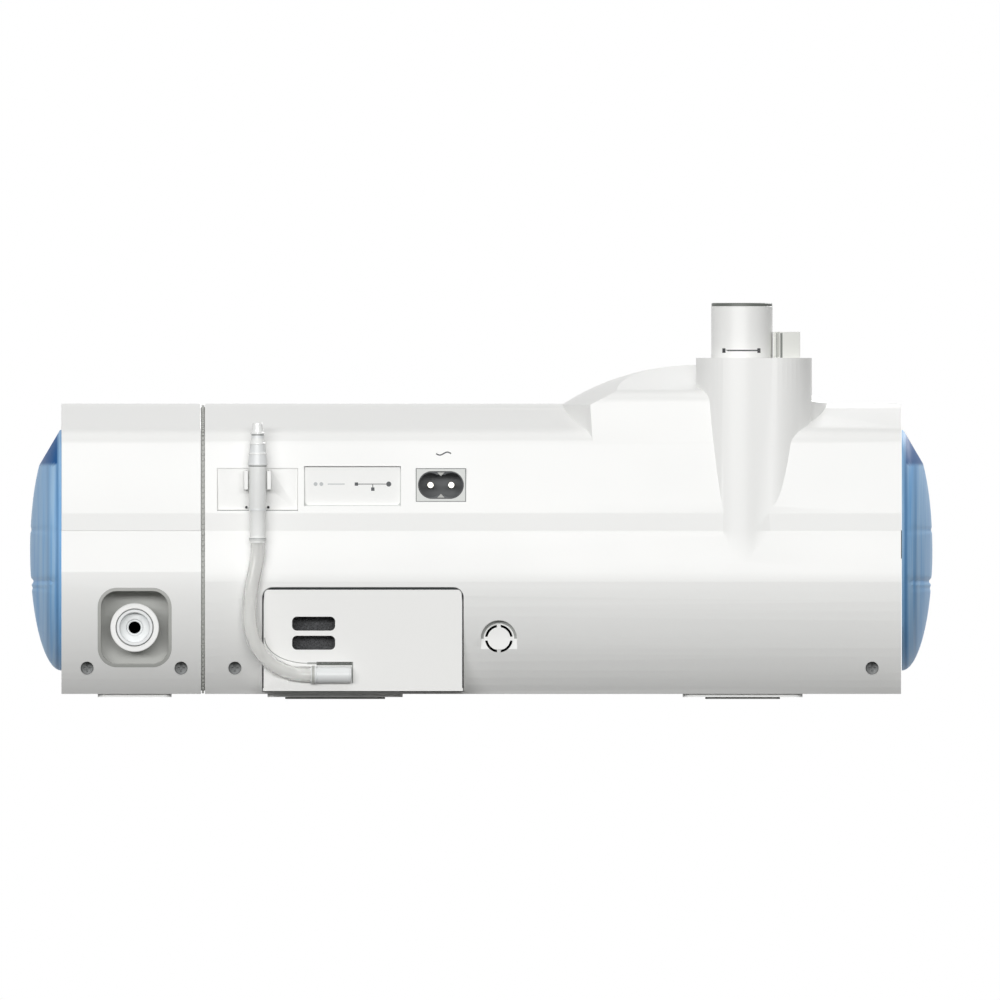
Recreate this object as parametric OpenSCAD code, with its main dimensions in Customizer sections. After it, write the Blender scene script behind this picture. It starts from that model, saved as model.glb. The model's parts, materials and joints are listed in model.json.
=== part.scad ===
// Bench-top non-invasive ventilator with humidifier and add-on module.
// Millimetres, +Z up, front faces -Y, origin at the centre of the footprint.

/* [Body] */
// Depth of the housings, front to rear
body_depth = 150; // [140:1:170]
// Length of the main body between its flat ends
main_len = 288.2; // [280:1:310]
// Height of the housings above the table
body_top = 122.5; // [120:0.5:128]
// Height of the housings' underside
body_bottom = 2.1; // [1.6:0.1:3]
// Height of the seam between upper and lower shells
parting_z = 69.6; // [68:0.1:71]
// Height of the fullest line of the rear
bulge_z = 52.6; // [50:0.1:55]
// Radius that rolls the rear under
under_r = 66; // [62:1:72]
// Wall of the moulded shells
wall = 2.4; // [1.8:0.1:3]
// Lean of the front face from vertical, degrees
face_tilt = 29; // [26:1:31]
// Height where the leaning front face starts
face_z = 38; // [34:1:42]

/* [Crest and tower] */
// Radius of the crest seen from the rear
crest_r = 102; // [98:1:110]
// Height of the crest
crest_z = 138.3; // [134:0.1:140]
// Radius of the crest's outline seen from above
crest_plan_r = 55.5; // [50:0.5:58]
// Centre of the crest along the body
crest_x = -88.9; // [-92:0.1:-86]
// Height of the tower's flat top
tower_z = 141.2; // [140:0.1:146]
// Radius of the tower round the outlet
tower_r = 19; // [18:0.1:21]
// Radius of the tower's narrower side, round the connector
tower_side_r = 17.2; // [16.4:0.1:18]
// Distance between the two tower radii's centres
tower_step = 11.8; // [10:0.1:13]

/* [Outlet] */
// Place of the air outlet along the body
outlet_x = -107.9; // [-110:0.1:-106]
// Outer radius of the outlet tube
outlet_r = 12.7; // [12.6:0.05:13.2]
// Radius of the 22 mm socket inside the outlet tube
socket_r = 11.2; // [10.9:0.05:11.4]
// Height of the outlet tube's rim
outlet_z = 164; // [160:0.5:170]
// Length of the outlet tube
outlet_len = 48; // [44:1:50]
// Height of the heated-tube connector's top
connector_z = 152; // [148:0.5:156]

/* [End domes] */
// How far the end domes stand out
dome_out = 13; // [10:0.5:16]
// Half height of the domes
dome_half_z = 49.8; // [46:0.1:51]
// Half width of the domes, front to rear
dome_half_y = 58; // [50:1:60]
// Height of the domes' centre
dome_z = 61.6; // [60:0.1:63]
// Wall of the domes
dome_wall = 2.2; // [1.6:0.1:3]

/* [Module] */
// Length of the add-on module
module_len = 57.8; // [54:0.1:64]
// Gap between module and main body
module_gap = 1.6; // [1.2:0.1:2.4]
// Width of the recess round the gas fitting
recess_w = 30.6; // [28:0.1:33]
// Height of that recess
recess_h = 32.9; // [30:0.1:34]
// Height of the gas fitting's axis
fitting_z = 29.6; // [28:0.1:31]
// Outer radius of the release collar
collar_r = 10.1; // [9.4:0.1:11]
// Radius of the gas fitting's body
fitting_r = 7.5; // [7:0.1:8]
// Radius of the gas fitting's bore
gas_bore_r = 2.5; // [2:0.1:3]
// Travel of the release collar
collar_travel = 2.5; // [1.5:0.1:3]

/* [Rear fittings] */
// Place of the mains inlet along the body
inlet_x = 16.7; // [14:0.1:19]
// Height of the mains inlet
inlet_z = 88.6; // [87:0.1:90]
// Width of the mains inlet's frame
inlet_w = 20.8; // [20.4:0.1:23]
// Height of the mains inlet's frame
inlet_h = 13.9; // [13:0.1:15]
// Distance between the two mains pins
pin_pitch = 8.6; // [8:0.1:9]
// Width of the comms flap
flap_w = 39.4; // [36:0.1:41]
// Height of the comms flap
flap_h = 16; // [14:0.1:17]
// Place of the comms flap along the body
flap_x = 53.3; // [52:0.1:54.5]
// Width of the clip plate
clip_w = 33.5; // [31:0.1:34.5]
// Height of the clip plate
clip_h = 17.4; // [15:0.1:18]

/* [Oxygen line] */
// Place of the nipple along the body
nipple_x = 92.6; // [91:0.1:94]
// Radius of the nipple's barrel
barrel_r = 3.6; // [3.3:0.1:3.9]
// Radius of the clear hose
hose_r = 2.9; // [2.6:0.1:3]
// Bore radius of the clear hose
hose_bore_r = 1.6; // [1.2:0.1:2]

/* [Filter] */
// Width of the filter cover
cover_w = 82.8; // [78:0.1:84]
// Height of the filter cover
cover_h = 42.7; // [40:0.1:44]
// Place of the filter cover's middle along the body
cover_x = 49; // [48:0.1:50]
// Wall of the filter cover
cover_wall = 2; // [1.6:0.1:2.6]
// Thickness of the coarse filter
coarse_t = 8; // [6:0.5:9]
// Thickness of the fine filter
fine_t = 3; // [2:0.5:4]

/* [Front] */
// Width of the front bezel
bezel_w = 156; // [150:1:160]
// Height of the front bezel along the face
bezel_h = 72; // [70:1:76]
// Width of the strip of the bezel that carries the knob and buttons
control_w = 62; // [56:1:66]
// Frame of the bezel around the window
bezel_rim = 6; // [4:0.5:9]
// Height of the display window
window_h = 54; // [48:1:58]
// Radius of the rotary knob
knob_r = 16; // [13:0.5:18]
// Height of the rotary knob
knob_h = 13; // [10:0.5:16]
// Travel of the knob's push switch
knob_travel = 0.8; // [0.5:0.1:1]
// Travel of the front buttons
button_travel = 0.8; // [0.5:0.1:1]

/* [Water tank] */
// Length of the water tank
tank_len = 104; // [96:1:108]
// Width of the water tank
tank_w = 88; // [80:1:92]
// Height of the water tank with its lid
tank_h = 56; // [50:1:58]
// Wall of the water tank
tank_wall = 2; // [1.6:0.1:2.6]
// Radius of the metal heat plate
heat_r = 33; // [28:1:36]

/* [Blower] */
// Outer radius of the volute
volute_r = 38; // [34:1:40]
// Radius of the impeller
impeller_r = 27; // [22:1:29]
// Radius of the air ducts outside
duct_r = 11; // [10:0.5:11.5]
// Wall of the air ducts
duct_wall = 1.6; // [1.2:0.1:2]

/* [Fits] */
// Clearance between pieces that move past each other
move_gap = 0.3; // [0.25:0.01:0.5]
// Radial clearance of a shaft in its bearing
run_gap = 0.05; // [0.02:0.01:0.08]
// Radius of the screw holes in the rear
screw_hole_r = 2.7; // [2.4:0.1:3]

/* [Hidden] */
$fn = 64;
eps = 0.01;

// Overall places along X: the tank end at -X, the module at +X
total_len = dome_out + main_len + module_gap + module_len + dome_out;
main_x0 = dome_out - total_len / 2;
main_x1 = main_x0 + main_len;
mod_x0 = main_x1 + module_gap;
mod_x1 = mod_x0 + module_len;

// Overall places along Y: the nipple's widest step stands furthest to the rear
line_off = 3.5;
nipple_r = barrel_r + 0.55;
total_depth = body_depth + line_off + nipple_r;
front_y = -total_depth / 2;
rear_y = front_y + body_depth;
line_y = rear_y + line_off;

// Section of the shells: corners as [y, z, radius], anticlockwise
band_in = 2.2;
facet_z = body_top - 12;
roll_y = rear_y - under_r;
seam_in = 2.1;
facet_in = 4.9;
seam_run = 7.4;
rear_lean = (facet_in - seam_in) / (facet_z - parting_z - seam_run);
function face_y(z) = front_y + (z - face_z) * tan(face_tilt);
brow_z = body_top - 3;
upper_pts = [
    [rear_y - band_in, parting_z, 0],
    [rear_y - seam_in, parting_z + seam_run, 6],
    [rear_y - facet_in, facet_z, 8],
    [rear_y - 35, body_top, 25],
    [face_y(brow_z), brow_z, 8],
    [face_y(parting_z), parting_z, 0]
];
lower_pts = [
    [rear_y, body_bottom, 0],
    [rear_y, bulge_z, 0],
    [rear_y - band_in, parting_z, 0],
    [face_y(parting_z), parting_z, 0],
    [front_y, face_z, 20],
    [front_y, 22, 12],
    [front_y + 13, body_bottom, 10]
];

// Height of the rear wall's surface above the seam, as a depth
function wall_y(z) = rear_y - seam_in - (z - parting_z - seam_run) * rear_lean;
function under_y(z) = roll_y + sqrt(under_r * under_r - (bulge_z - z) * (bulge_z - z));

// Rounded convex outline, moved inwards by inset; its corner circles stand a hair proud of the flats
corner_proud = 0.001;
function unit2(v) = v / norm(v);
function cross2(a, b) = a[0] * b[1] - a[1] * b[0];
function xy(p) = [p[0], p[1]];
function corner_dir(p, i) = unit2(xy(p[(i + 1) % len(p)]) - xy(p[i]));
function corner_info(p, i, inset) =
    let (n = len(p), d1 = corner_dir(p, (i + n - 1) % n), d2 = corner_dir(p, i))
    let (n1 = [-d1[1], d1[0]], n2 = [-d2[1], d2[0]], k = 1 + n1 * n2)
    let (at = xy(p[i]) + (n1 + n2) * inset / k, r = max(p[i][2] - inset, 0))
    let (run = r * abs(cross2(d1, d2)) / k)
    [at - d1 * run, at + d2 * run, at + (n1 + n2) * r / k, r];

module outline(p, inset = 0) {
    info = [for (i = [0 : len(p) - 1]) corner_info(p, i, inset)];
    polygon([for (c = info) each [c[0], c[1]]]);
    for (c = info)
        if (c[3] > 0.2) translate(c[2]) circle(c[3] + corner_proud, $fn = 96);
}

module upper_outline(inset = 0) outline(upper_pts, inset);

module lower_outline(inset = 0) {
    intersection() {
        outline(lower_pts, inset);
        union() {
            translate([roll_y, bulge_z]) circle(under_r - inset, $fn = 180);
            translate([front_y - 5, 0]) square([roll_y - front_y + 5, body_top]);
            translate([front_y - 5, bulge_z]) square([body_depth + 10, body_top]);
        }
    }
}

// Extrudes a [y, z] outline along X from x0 to x1
module along_x(x0, x1) translate([x0, 0, 0]) rotate([90, 0, 90]) linear_extrude(x1 - x0) children();
// Extrudes an [x, z] outline along Y from y0 to y1
module along_y(y0, y1) translate([0, y1, 0]) rotate([90, 0, 0]) linear_extrude(y1 - y0) children();
// Extrudes an [x, y] outline from z0 to z1
module along_z(z0, z1) translate([0, 0, z0]) linear_extrude(z1 - z0) children();
module block(x0, x1, y0, y1, z0, z1) translate([x0, y0, z0]) cube([x1 - x0, y1 - y0, z1 - z0]);
module rod_y(x, z, r, y0, y1) translate([x, y1, z]) rotate([90, 0, 0]) cylinder(r = r, h = y1 - y0);
module rod_x(y, z, r, x0, x1) translate([x0, y, z]) rotate([0, 90, 0]) cylinder(r = r, h = x1 - x0);
module rod_z(x, y, r, z0, z1) translate([x, y, z0]) cylinder(r = r, h = z1 - z0);

// Rectangle with round corners about its centre
module round_rect(w, h, r) {
    square([w - 2 * r, h], center = true);
    square([w, h - 2 * r], center = true);
    for (x = [-1, 1], y = [-1, 1])
        translate([x * (w / 2 - r), y * (h / 2 - r)]) circle(r, $fn = 48);
}

// Places a piece on the leaning front face: x along it, s up it, +z out of it
module on_face(x, s, out = 0)
    translate([x, front_y + s * sin(face_tilt), face_z + s * cos(face_tilt)])
        rotate([90 - face_tilt, 0, 0]) translate([0, 0, out]) children();

// Crest: a shallow dome with a round plan, cut off by the rear wall and a facet
crest_y = rear_y - 40;
facet_slope = 0.345;
crest_end_x = crest_x - 11.1;
crest_end_r = crest_plan_r - 11.8;
crest_back = 0.05;
module crest_section(inset) {
    y_top = rear_y - 6.9;
    z_low = crest_z - (y_top - crest_y) * facet_slope;
    outline([
        [wall_y(100) - crest_back, 100, 0],
        [wall_y(z_low) - crest_back, z_low, 6],
        [crest_y - 30, z_low + (y_top - crest_y + 30) * facet_slope, 0],
        [crest_y - 60, z_low + (y_top - crest_y + 30) * facet_slope, 0],
        [crest_y - 60, 100, 0]
    ], inset);
}
module crest_form(inset = 0) {
    intersection() {
        along_x(crest_x - crest_plan_r, crest_x + crest_plan_r) crest_section(inset);
        translate([crest_x, crest_y, crest_z - crest_r]) sphere(crest_r - inset, $fn = 128);
        rod_z(crest_x, crest_y, crest_plan_r - inset, 90, tower_z);
        union() {
            rod_z(crest_end_x, crest_y, crest_end_r - inset, 89, tower_z + 1);
            block(crest_end_x, crest_x + crest_plan_r + 1, crest_y - crest_plan_r - 1, rear_y + 9,
                89, tower_z + 1);
        }
    }
}

// Tower: two upright cylinders and the flats between them
tower_y = rear_y - 19.5;
side_x = outlet_x - tower_step;
flat_in = 0.1;
module tower_form(z0, z1, inset = 0) {
    a = asin((tower_r - tower_side_r) / tower_step);
    r1 = tower_r - inset - flat_in;
    r2 = tower_side_r - inset - flat_in;
    rod_z(outlet_x, tower_y, tower_r - inset, z0, z1);
    rod_z(side_x, tower_y, tower_side_r - inset, z0, z1);
    along_z(z0, z1) polygon([
        [outlet_x - r1 * sin(a), tower_y + r1 * cos(a)],
        [side_x - r2 * sin(a), tower_y + r2 * cos(a)],
        [side_x - r2 * sin(a), tower_y - r2 * cos(a)],
        [outlet_x - r1 * sin(a), tower_y - r1 * cos(a)]
    ]);
}

// Colours
white = "#f4f4f1";
pale = "#e4e6e6";
blue = "#3f86c4";
grey = "#8e9294";
dark = "#2c3034";
clear = "#dfe9ee";
metal = "#b9bdc1";

// Shared places of openings and pockets
bay_wall = 2;
cover_x0 = cover_x - cover_w / 2;
cover_x1 = cover_x + cover_w / 2;
cover_z0 = body_bottom + 1.2;
cover_z1 = cover_z0 + cover_h;
bay_clear = 0.5;
bay_in = cover_wall + move_gap + bay_clear + bay_wall;
bay_x0 = cover_x0 + bay_in;
bay_x1 = cover_x1 - bay_in;
bay_z0 = cover_z0 + bay_in;
bay_z1 = cover_z1 - bay_in;
flap_z1 = 96.3;
flap_z0 = flap_z1 - flap_h;
flap_y = wall_y(flap_z1) - 0.4;
flap_t = 1.6;
pocket_y = flap_y - flap_t - move_gap;
clip_x = main_x1 - 5 - clip_w / 2;
clip_z1 = 95.6;
clip_z0 = clip_z1 - clip_h;
clip_t = 1.8;
inlet_y = wall_y(inlet_z) + 0.1;
inlet_depth = 17;
tank_gap = 1;
tank_x1 = main_x0 + 3 + tank_len;
tank_y = -3.5;
tank_z0 = 18;
tank_z1 = tank_z0 + tank_h;
mouth_y0 = tank_y - tank_w / 2 - tank_gap;
mouth_y1 = tank_y + tank_w / 2 + tank_gap;
mouth_z0 = tank_z0 - tank_gap;
mouth_z1 = tank_z1 + tank_gap;
bezel_x = 26;
window_w = bezel_w - bezel_rim - control_w;
bezel_s = 47;
bezel_t = 3;
screw_z = 12.8;
screw_y = under_y(screw_z);
screw_shank_r = 1.5;
main_screws = [cover_x1 + 11.6, main_x0 + 12];
mod_x = (mod_x0 + mod_x1) / 2;
mod_screws = [mod_x - 20.6, mod_x + 18.3];
recess_x = mod_x - 1.4;
recess_corner = 8;
vent_x = -7.3;
vent_z = 25;
vent_r = 5.25;
vent_boss_r = vent_r + 5.15;

// Shells of either housing. Their insides run on past the seam, so that they meet openly there.
over_run = 10;
upper_in_pts = [
    [rear_y - band_in - over_run * (band_in - seam_in) / seam_run, parting_z - over_run, 0],
    upper_pts[1], upper_pts[2], upper_pts[3], upper_pts[4],
    [face_y(parting_z - over_run), parting_z - over_run, 0]
];
lower_in_pts = [
    lower_pts[0], lower_pts[1],
    [rear_y - band_in * (1 + over_run / (parting_z - bulge_z)), parting_z + over_run, 0],
    [face_y(parting_z + over_run), parting_z + over_run, 0],
    lower_pts[4], lower_pts[5], lower_pts[6]
];
module upper_solid(x0, x1) along_x(x0, x1) upper_outline();
module lower_solid(x0, x1) along_x(x0, x1) lower_outline();
module upper_inside(x0, x1) along_x(x0 + wall, x1 - wall) outline(upper_in_pts, wall);
module lower_inside(x0, x1)
    along_x(x0 + wall, x1 - wall) intersection() {
        outline(lower_in_pts, wall);
        union() {
            translate([roll_y, bulge_z]) circle(under_r - wall, $fn = 180);
            translate([front_y - 5, 0]) square([roll_y - front_y + 5, body_top]);
            translate([front_y - 5, bulge_z]) square([body_depth + 10, body_top]);
        }
    }

// Raised lands under the housing that carry the rubber feet
land_z = 0.8;
foot_rows = [-45, 37];
foot_spots = [[60.5, 41.4, 56], [-108.2, 31, 49.6]];
module foot_lands() {
    for (f = foot_spots, y = foot_rows)
        translate([f[0], y, land_z]) linear_extrude(body_bottom - land_z + 0.4) round_rect(f[2], 16, 3);
}
module rubber_feet() {
    color(dark) for (f = foot_spots, y = foot_rows)
        translate([f[0], y, 0]) linear_extrude(land_z) round_rect(f[1], 11, 2.5);
}

// Openings through the main housing
module face_opening() on_face(bezel_x, bezel_s, -12) linear_extrude(30) round_rect(bezel_w - 6,
    bezel_h - 6, 4);
module face_seat() on_face(bezel_x, bezel_s, -1.4) linear_extrude(30) round_rect(bezel_w, bezel_h, 7);
module tank_mouth() block(main_x0 - 1, main_x0 + wall + 1, mouth_y0, mouth_y1, mouth_z0, mouth_z1);
module inlet_opening(grow = 0)
    along_y(inlet_y - 40, inlet_y + 10)
        translate([inlet_x, inlet_z]) square([inlet_w + 2 * grow, inlet_h + 2 * grow], center = true);
module inlet_sleeve()
    block(inlet_x - inlet_w / 2 - 2, flap_x - flap_w / 2 - 2, inlet_y - inlet_depth + 3,
        inlet_y - wall * 0.7, inlet_z - inlet_h / 2 - 2, inlet_z + inlet_h / 2 + 2);
module flap_pocket() {
    block(flap_x - flap_w / 2 - move_gap, flap_x + flap_w / 2 + move_gap, pocket_y, rear_y + 5,
        flap_z0 - move_gap, flap_z1 + move_gap);
    for (s = comms_sockets)
        block(s[0] - s[1] / 2 - 0.4, s[0] + s[1] / 2 + 0.4, pocket_y - 10, rear_y,
            comms_z - s[2] / 2 - 0.4, comms_z + s[2] / 2 + 0.4);
}
comms_z = 88.4;
comms_sockets = [[flap_x - 9, 12.4, 5], [flap_x + 9, 14, 3]];
module clip_pocket()
    block(clip_x - clip_w / 2, clip_x + clip_w / 2, flap_y - clip_t, rear_y + 5, clip_z0, clip_z1);
module screw_holes(xs) {
    for (x = xs) rod_y(x, screw_z, screw_hole_r, screw_y - 8, rear_y);
    for (x = xs) rod_y(x, screw_z, screw_shank_r, screw_y - 12, rear_y);
}

upper_back = 2;
module upper_housing() {
    color(white) difference() {
        union() {
            difference() {
                difference() {
                    union() {
                        upper_solid(main_x0, main_x1);
                        crest_form();
                        tower_form(parting_z, tower_z);
                    }
                    upper_inside(main_x0, main_x1);
                    tower_form(parting_z - 1, tower_z - wall, wall);
                }
                crest_form(wall);
            }
            rod_z(outlet_x, tower_y, sleeve_r, sleeve_z - 4, tower_z - 1);
            block(flap_x - flap_w / 2 - 3, clip_x + clip_w / 2 + 1.5, pocket_y - upper_back,
                wall_y(clip_z0) - wall / 2, clip_z0 - 1.5, flap_z1 + 1.5);
            inlet_sleeve();
        }
        rod_z(outlet_x, tower_y, outlet_r + move_gap, sleeve_z - 5, tower_z + 1);
        connector_slot();
        face_opening();
        face_seat();
        tank_mouth();
        inlet_opening();
        flap_pocket();
        clip_pocket();
    }
}

// The sleeve in the tower that guides the outlet tube
sleeve_z = outlet_z - outlet_len;
sleeve_r = outlet_r + move_gap + 1.6;
module connector_slot()
    translate([connector_x, tower_y, tower_z - 10]) linear_extrude(20)
        square([connector_l, connector_w], center = true);
connector_x = side_x - 6.7;
connector_l = 11.2;
connector_w = 14;

module lower_housing() {
    color(white) difference() {
        union() {
            difference() {
                lower_solid(main_x0, main_x1);
                lower_inside(main_x0, main_x1);
            }
            foot_lands();
            difference() {
                tower_form(bulge_z - 2, parting_z);
                lower_inside(main_x0, main_x1);
            }
            screw_posts(main_screws);
            vent_boss();
        }
        face_opening();
        face_seat();
        tank_mouth();
        cover_block(-move_gap);
        link_rods(0.1);
        screw_holes(main_screws);
        vent_cuts();
    }
}
module screw_posts(xs) {
    for (x = xs) rod_y(x, screw_z, screw_hole_r + 2.2, screw_y - 11, screw_y - 5.4);
}

// Round knock-out vent: four arc slots in an arched recess
module vent_boss()
    intersection() {
        along_y(under_y(vent_z) - 7, under_y(vent_z) - 1)
            translate([vent_x, vent_z]) square(2 * vent_boss_r, center = true);
        along_x(vent_x - vent_boss_r - 1, vent_x + vent_boss_r + 1) lower_outline(0.4);
    }
module vent_cuts() {
    y = under_y(vent_z) - 2.2;
    along_y(y, rear_y + 5) {
        translate([vent_x, vent_z]) circle(vent_r + 2.35);
        translate([vent_x - vent_r - 2.35, vent_z - 7.6]) square([2 * vent_r + 4.7, 7.6]);
    }
    along_y(y - 20, y + 1) difference() {
        translate([vent_x, vent_z]) circle(vent_r + 0.5);
        translate([vent_x, vent_z]) circle(vent_r - 0.5);
        translate([vent_x, vent_z]) square([1.6, 20], center = true);
        translate([vent_x, vent_z]) square([20, 1.6], center = true);
    }
}

// End domes: half an ellipsoid with a flat facet at the top and a shallow groove
facet_turn = 59.5;
module dome_form(out, inset) {
    difference() {
        scale([out - inset, dome_half_y - inset, dome_half_z - inset]) sphere(1, $fn = 96);
        translate([0.6, 0, dome_half_z]) rotate([0, facet_turn, 0])
            translate([-40, -dome_half_y, -inset]) cube([80, 2 * dome_half_y, 30]);
    }
}
module dome(out, base_t) {
    intersection() {
        difference() {
            dome_form(out, 0);
            intersection() {
                dome_form(out, dome_wall);
                block(base_t, out, -dome_half_y, dome_half_y, -dome_half_z, dome_half_z);
            }
        }
        block(0, out + 1, -dome_half_y, dome_half_y, -dome_half_z, dome_half_z);
    }
}
module tank_dome() color(blue, 0.6)
    translate([main_x0 - move_gap, tank_y, dome_z]) mirror([1, 0, 0]) dome(dome_out - move_gap, 1.6);
module module_dome() color(blue, 0.6)
    translate([mod_x1, tank_y, dome_z]) dome(dome_out, 0);

// Mains inlet: a frame round a two-lobed socket, with a pin in each lobe
module c8_inlet() {
    color(grey) difference() {
        along_y(inlet_y - inlet_depth, inlet_y)
            translate([inlet_x, inlet_z]) square([inlet_w, inlet_h], center = true);
        along_y(inlet_y - socket_depth, inlet_y + 1) socket_shape();
        for (s = [-1, 1]) rod_y(inlet_x + s * pin_pitch / 2, inlet_z, pin_r,
            inlet_y - inlet_depth - 1, inlet_y);
    }
}
socket_depth = 12;
pin_r = 1.2;
module socket_shape() {
    for (s = [-1, 1]) translate([inlet_x + s * pin_pitch / 2, inlet_z]) circle(5);
    translate([inlet_x, inlet_z]) square([4, 8.4], center = true);
}
module c8_pins() {
    color(metal) for (s = [-1, 1])
        rod_y(inlet_x + s * pin_pitch / 2, inlet_z, pin_r, inlet_y - inlet_depth - 3, inlet_y - 2.5);
}

// Comms flap: a plate that swings up about its top edge
module comms_flap() {
    color(pale) {
        block(flap_x - flap_w / 2, flap_x + flap_w / 2, flap_y - flap_t, flap_y, flap_z0, flap_z1 - 1.2);
        rod_x(flap_y - 0.8, flap_z1 - 1, 0.8, flap_x - flap_w / 2, flap_x + flap_w / 2);
    }
}
module comms_connectors() {
    color(dark) for (s = comms_sockets) difference() {
        block(s[0] - s[1] / 2, s[0] + s[1] / 2, pocket_y - 12, pocket_y - 0.2, comms_z - s[2] / 2,
            comms_z + s[2] / 2);
        block(s[0] - s[1] / 2 + 0.7, s[0] + s[1] / 2 - 0.7, pocket_y - 10, pocket_y + 1,
            comms_z - s[2] / 2 + 0.7, comms_z + s[2] / 2 - 0.7);
    }
}

// Clip plate: its two jaws hold the nipple's barrel and are open to the rear
jaw_gap = barrel_r + move_gap;
jaw_t = 1.8;
module clip_plate() {
    color(white) {
        block(clip_x - clip_w / 2, clip_x + clip_w / 2, flap_y - clip_t, flap_y, clip_z0, clip_z1);
        for (s = [-1, 1])
            block(nipple_x + s * (jaw_gap + jaw_t / 2) - jaw_t / 2,
                nipple_x + s * (jaw_gap + jaw_t / 2) + jaw_t / 2,
                flap_y - 0.5, line_y + 1.5, clip_z1 - 9, clip_z1 - 1);
    }
}

// Stepped nipple on a round barrel, upright behind the clip plate
nipple_z0 = 64.6;
barrel_z = [70, 78, 96.9];
step_zs = [96.9, 101.2, 105.4, 109.7, 114.3];
step_rs = [nipple_r, 3.6, 3.0, 2.4];
module oxygen_nipple() {
    color(pale) difference() {
        union() {
            rod_z(nipple_x, line_y, barrel_r - 0.6, nipple_z0, barrel_z[1] + eps);
            rod_z(nipple_x, line_y, barrel_r, barrel_z[1], barrel_z[2] + eps);
            for (i = [0 : 3]) rod_z(nipple_x, line_y, step_rs[i] - 0.55, step_zs[i], step_zs[i + 1]);
            for (i = [0 : 3]) translate([nipple_x, line_y, step_zs[i]])
                cylinder(r1 = step_rs[i], r2 = step_rs[i] - 0.55, h = step_zs[i + 1] - step_zs[i]);
        }
        rod_z(nipple_x, line_y, 1.2, nipple_z0 - 1, step_zs[4] + 1);
    }
}

// Clear hose, held at both ends: one tube swept along points chosen by hand
barb_z = 10;
barb_y = rear_y - 4.9;
hose_pts = [
    [nipple_x, line_y, nipple_z0], [nipple_x, line_y, 60], [93.6, line_y, 54], [95, line_y, 47],
    [95.8, line_y, 40], [95.9, line_y, 33.5], [95.1, rear_y + 3.1, 27.5], [92.9, rear_y + 1.8, 21.8],
    [89.2, rear_y - 0.6, 16.8], [84.2, rear_y - 2.9, 13], [78.4, rear_y - 4.4, 10.8],
    [74, barb_y, barb_z], [70.4, barb_y, barb_z]
];
hose_sides = 12;
function tangent(p, i) = unit2(p[min(i + 1, len(p) - 1)] - p[max(i - 1, 0)]);
function side_of(t) = unit2(cross(t, [0, 1, 0.0001]));
function ring(p, i, r) =
    let (t = tangent(p, i), u = side_of(t), v = cross(t, u))
    [for (k = [0 : hose_sides - 1]) p[i] + r * (cos(360 * k / hose_sides)
        * u + sin(360 * k / hose_sides) * v)];
module tube_solid(p, r) {
    n = len(p);
    m = hose_sides;
    points = [for (i = [0 : n - 1]) each ring(p, i, r)];
    faces = concat(
        [for (i = [0 : n - 2], k = [0 : m - 1]) [i * m + k, (i + 1) * m + k, (i + 1) * m + (k + 1) % m]],
        [for (i = [0 : n - 2], k = [0 : m - 1]) [i * m + k, (i + 1) * m + (k + 1) % m,
            i * m + (k + 1) % m]],
        [[for (k = [0 : m - 1]) k], [for (k = [0 : m - 1]) n * m - 1 - k]]
    );
    polyhedron(points, faces, convexity = 4);
}
module oxygen_hose() color(clear, 0.7) tube_solid(hose_pts, hose_r);

// Barb on the filter cover: the hose pushes onto its collared end
barb_x0 = 53.8;
barb_x1 = 70.4;
module hose_barb() {
    color(pale) difference() {
        union() {
            rod_x(barb_y, barb_z, 3, barb_x0, barb_x1 - 2);
            rod_x(barb_y, barb_z, 3.5, barb_x1 - 2, barb_x1);
            rod_z(barb_x0 + 3, barb_y, 0.01 + 2.4, barb_z - 2, barb_z);
            rod_y(barb_x0 + 3, barb_z, 2.4, cover_y(barb_z) - cover_wall - 3, barb_y);
        }
        rod_x(barb_y, barb_z, 1.2, barb_x0 + 2, barb_x1 + 1);
    }
}

// Filter cover: a flat-faced cap that stands proud of the rounded rear
cover_top_y = rear_y - 0.4;
cover_low_y = rear_y - 8.2;
cover_depth = 20;
function cover_y(z) = cover_low_y + (z - cover_z0) / cover_h * (cover_top_y - cover_low_y);
module cover_side(inset, z0, z1)
    polygon([
        [cover_low_y - cover_depth, z0], [cover_y(z0) - inset, z0],
        [cover_y(z1) - inset, z1], [cover_low_y - cover_depth, z1]
    ]);
module cover_face_outline(inset) {
    w = cover_w - 2 * inset;
    h = cover_h - 2 * inset;
    translate([cover_x, cover_z0 + cover_h / 2]) {
        translate([0, -2]) square([w, h - 4], center = true);
        round_rect(w, h, 4 - inset);
    }
}
module cover_block(inset) {
    intersection() {
        along_y(0, rear_y + 5) cover_face_outline(inset);
        along_x(cover_x0 - 1, cover_x1 + 1) cover_side(inset, cover_z0 - 1, cover_z1 + 1);
    }
}
skirt_depth = 7;
slot_w = 17.8;
slot_h = 5.8;
slot_x = cover_x + 20.4;
slot_zs = [23.3, 31.2];
module filter_cover() {
    color(white) difference() {
        union() {
            difference() {
                cover_block(0);
                along_x(cover_x0 - 5, cover_x1 + 5) lower_outline(skirt_depth);
                cover_block(cover_wall);
            }
            intersection() {
                cover_block(0.2);
                union() {
                    cover_ribs();
                    hose_trough(3 + 1.4 + 0.8);
                }
                block(cover_x0, cover_x1, 46, rear_y, cover_z0, cover_z1);
            }
        }
        for (z = slot_zs) along_y(0, rear_y + 5) translate([slot_x, z]) round_rect(slot_w, slot_h, 2);
        hose_trough(3 + 0.8);
        rod_y(barb_x0 + 3, barb_z, 2.4, 40, rear_y);
    }
}
// Trough in the cover for the hose and the barb
module hose_trough(r) {
    rod_x(barb_y, barb_z, r, barb_x0 - move_gap - (r - 3.8), 80);
    translate([79, barb_y, barb_z]) rotate([0, 62, 12]) cylinder(r = r, h = 16);
}
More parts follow.
